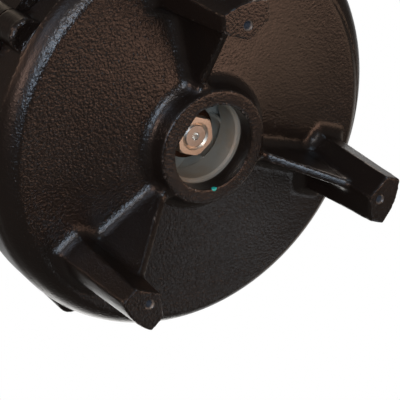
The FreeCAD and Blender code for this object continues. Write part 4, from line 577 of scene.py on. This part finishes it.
def floor_material():
    """Pale floor, seen only from above: clear to every other ray, so that the lamps below reach the feet."""
    material = bpy.data.materials.new("floor")
    material.use_nodes = True
    material.node_tree.nodes.clear()
    t = Tree(material.node_tree)
    above = t.maths("SUBTRACT", 1.0, t.add("ShaderNodeNewGeometry").outputs["Backfacing"])
    seen = t.maths("MULTIPLY", above, t.add("ShaderNodeLightPath").outputs["Is Camera Ray"])
    pale = t.add("ShaderNodeAddShader")
    t.link(t.add("ShaderNodeBsdfDiffuse", Color=(0.55, 0.55, 0.55, 1)).outputs[0], pale.inputs[0])
    t.link(t.add("ShaderNodeEmission", Strength=0.38).outputs[0], pale.inputs[1])
    shader = t.blend(seen, t.add("ShaderNodeBsdfTransparent"), pale)
    t.link(shader, t.add("ShaderNodeOutputMaterial").inputs["Surface"])
    return material


def make_floor():
    mesh = bpy.data.meshes.new("floor")
    signs = ((-1, -1), (1, -1), (1, 1), (-1, 1))
    mesh.from_pydata([(FLOOR_HALF * x, FLOOR_HALF * y, FLOOR_HEIGHT) for x, y in signs], [], [(0, 1, 2, 3)])
    floor = add_object("floor", mesh)
    mesh.materials.append(floor_material())


def make_world():
    """White for the camera, for light through glass and for gloss away from the camera; else dim."""
    world = bpy.data.worlds.new("studio")
    bpy.context.scene.world = world
    world.use_nodes = True
    world.node_tree.nodes.clear()
    t = Tree(world.node_tree)
    path = t.add("ShaderNodeLightPath").outputs
    away = t.vector_maths("DOT_PRODUCT", t.add("ShaderNodeTexCoord").outputs["Generated"], -PHOTO_NEAR)
    gloss = t.maths("MULTIPLY", path["Is Glossy Ray"], t.ramp(away, *BACKDROP_EDGE))
    seen = t.maths("MAXIMUM", t.maths("MAXIMUM", path["Is Camera Ray"], path["Is Transmission Ray"]), gloss)
    white = t.add("ShaderNodeBackground", Color=(1, 1, 1, 1))
    dim = t.add("ShaderNodeBackground", Color=(1.0, 0.90, 0.80, 1), Strength=0.09)
    t.link(t.blend(seen, dim, white), t.add("ShaderNodeOutputWorld").inputs["Surface"])


def aim(obj, place, target, up):
    """Puts the object at a place and turns its -Z to the target and its Y as near as may be to up."""
    back = (place - target).normalized()
    side = up.cross(back).normalized()
    over = back.cross(side)
    turn = Matrix((side, over, back)).transposed().to_4x4()
    turn.translation = place
    obj.matrix_world = turn


def lamp(name, direction, distance, size, power, colour):
    """A soft lamp in that direction from the casing; size is its width and its height."""
    light = bpy.data.lights.new(name, "AREA")
    light.shape = "ELLIPSE"
    light.size, light.size_y = size
    light.energy = power
    light.color = colour
    obj = add_object(name, light)
    aim(obj, LAMP_TARGET + Vector(direction).normalized() * distance, LAMP_TARGET, PHOTO_UP)
    obj.visible_camera = False


def photo_lamp(name, direction, *rest):
    """A lamp whose direction is given as right, up and towards the camera in the photograph."""
    right, up, near = direction
    lamp(name, PHOTO_RIGHT * right + PHOTO_UP * up + PHOTO_NEAR * near, *rest)


def make_lamps():
    photo_lamp("sheen", (0.877, -0.24, 0.416), 1.4, (0.7, 0.7), 3.25, (1.0, 0.57, 0.40))
    photo_lamp("side", (0.88, 0.19, 0.43), 1.4, (0.9, 0.9), 0.5, (1.0, 0.637, 0.468))
    photo_lamp("right", (0.96, -0.18, 0.04), 1.4, (0.6, 0.6), 0.88, (1.0, 0.64, 0.44))
    photo_lamp("rim", (0.70, -0.30, -0.65), 1.6, (1.2, 1.2), 1.0, (1.0, 0.80, 0.66))
    photo_lamp("below", (0.72, -0.68, -0.10), 1.4, (0.45, 0.45), 0.45, (0.92, 0.95, 1.0))
    photo_lamp("window", (0.09, -0.10, 0.98), 1.5, (0.35, 0.9), 9.0, (0.64, 0.80, 1.0))
    photo_lamp("front", (0.12, 0.15, 0.98), 1.5, (0.3, 0.4), 2.0, (1.0, 0.72, 0.5))
    photo_lamp("streak", (-0.55, -0.02, 0.84), 1.5, (0.25, 0.6), 3.4, (1.0, 0.65, 0.52))
    photo_lamp("left", (-0.90, 0.35, 0.30), 1.5, (0.5, 0.5), 2.5, (1.0, 0.60, 0.42))
    photo_lamp("corner", (-0.45, 0.40, 0.80), 1.5, (0.5, 0.5), 1.2, (0.66, 0.79, 1.0))
    photo_lamp("back", (-0.30, 0.55, -0.75), 1.8, (1.2, 1.2), 2.5, (1.0, 0.80, 0.60))
    photo_lamp("top", (0.30, 0.80, -0.50), 1.8, (1.0, 1.0), 6.0, (1.0, 0.84, 0.75))
    photo_lamp("crown", (0.20, 0.90, 0.40), 1.5, (0.6, 0.6), 2.0, (0.6, 0.8, 1.0))
    lamp("over", (-0.35, 0.45, 1.0), 2.2, (1.5, 1.5), 36.0, (1.0, 0.98, 0.95))
    lamp("rear", (-0.85, 0.05, 0.5), 2.2, (1.2, 1.2), 7.0, (1.0, 0.98, 0.95))


def make_camera():
    camera = add_object("camera", bpy.data.cameras.new("camera"))
    camera.data.sensor_width = SENSOR
    camera.data.lens = FOCAL_LENGTH
    camera.data.clip_end = 20
    aim(camera, CAMERA_PLACE, CAMERA_PLACE - PHOTO_NEAR, PHOTO_UP)
    bpy.context.scene.camera = camera


finish_nodes()
wear_nut()
make_casting()
make_floor()
make_world()
make_lamps()
make_camera()
bpy.context.scene.view_settings.view_transform = "Standard"
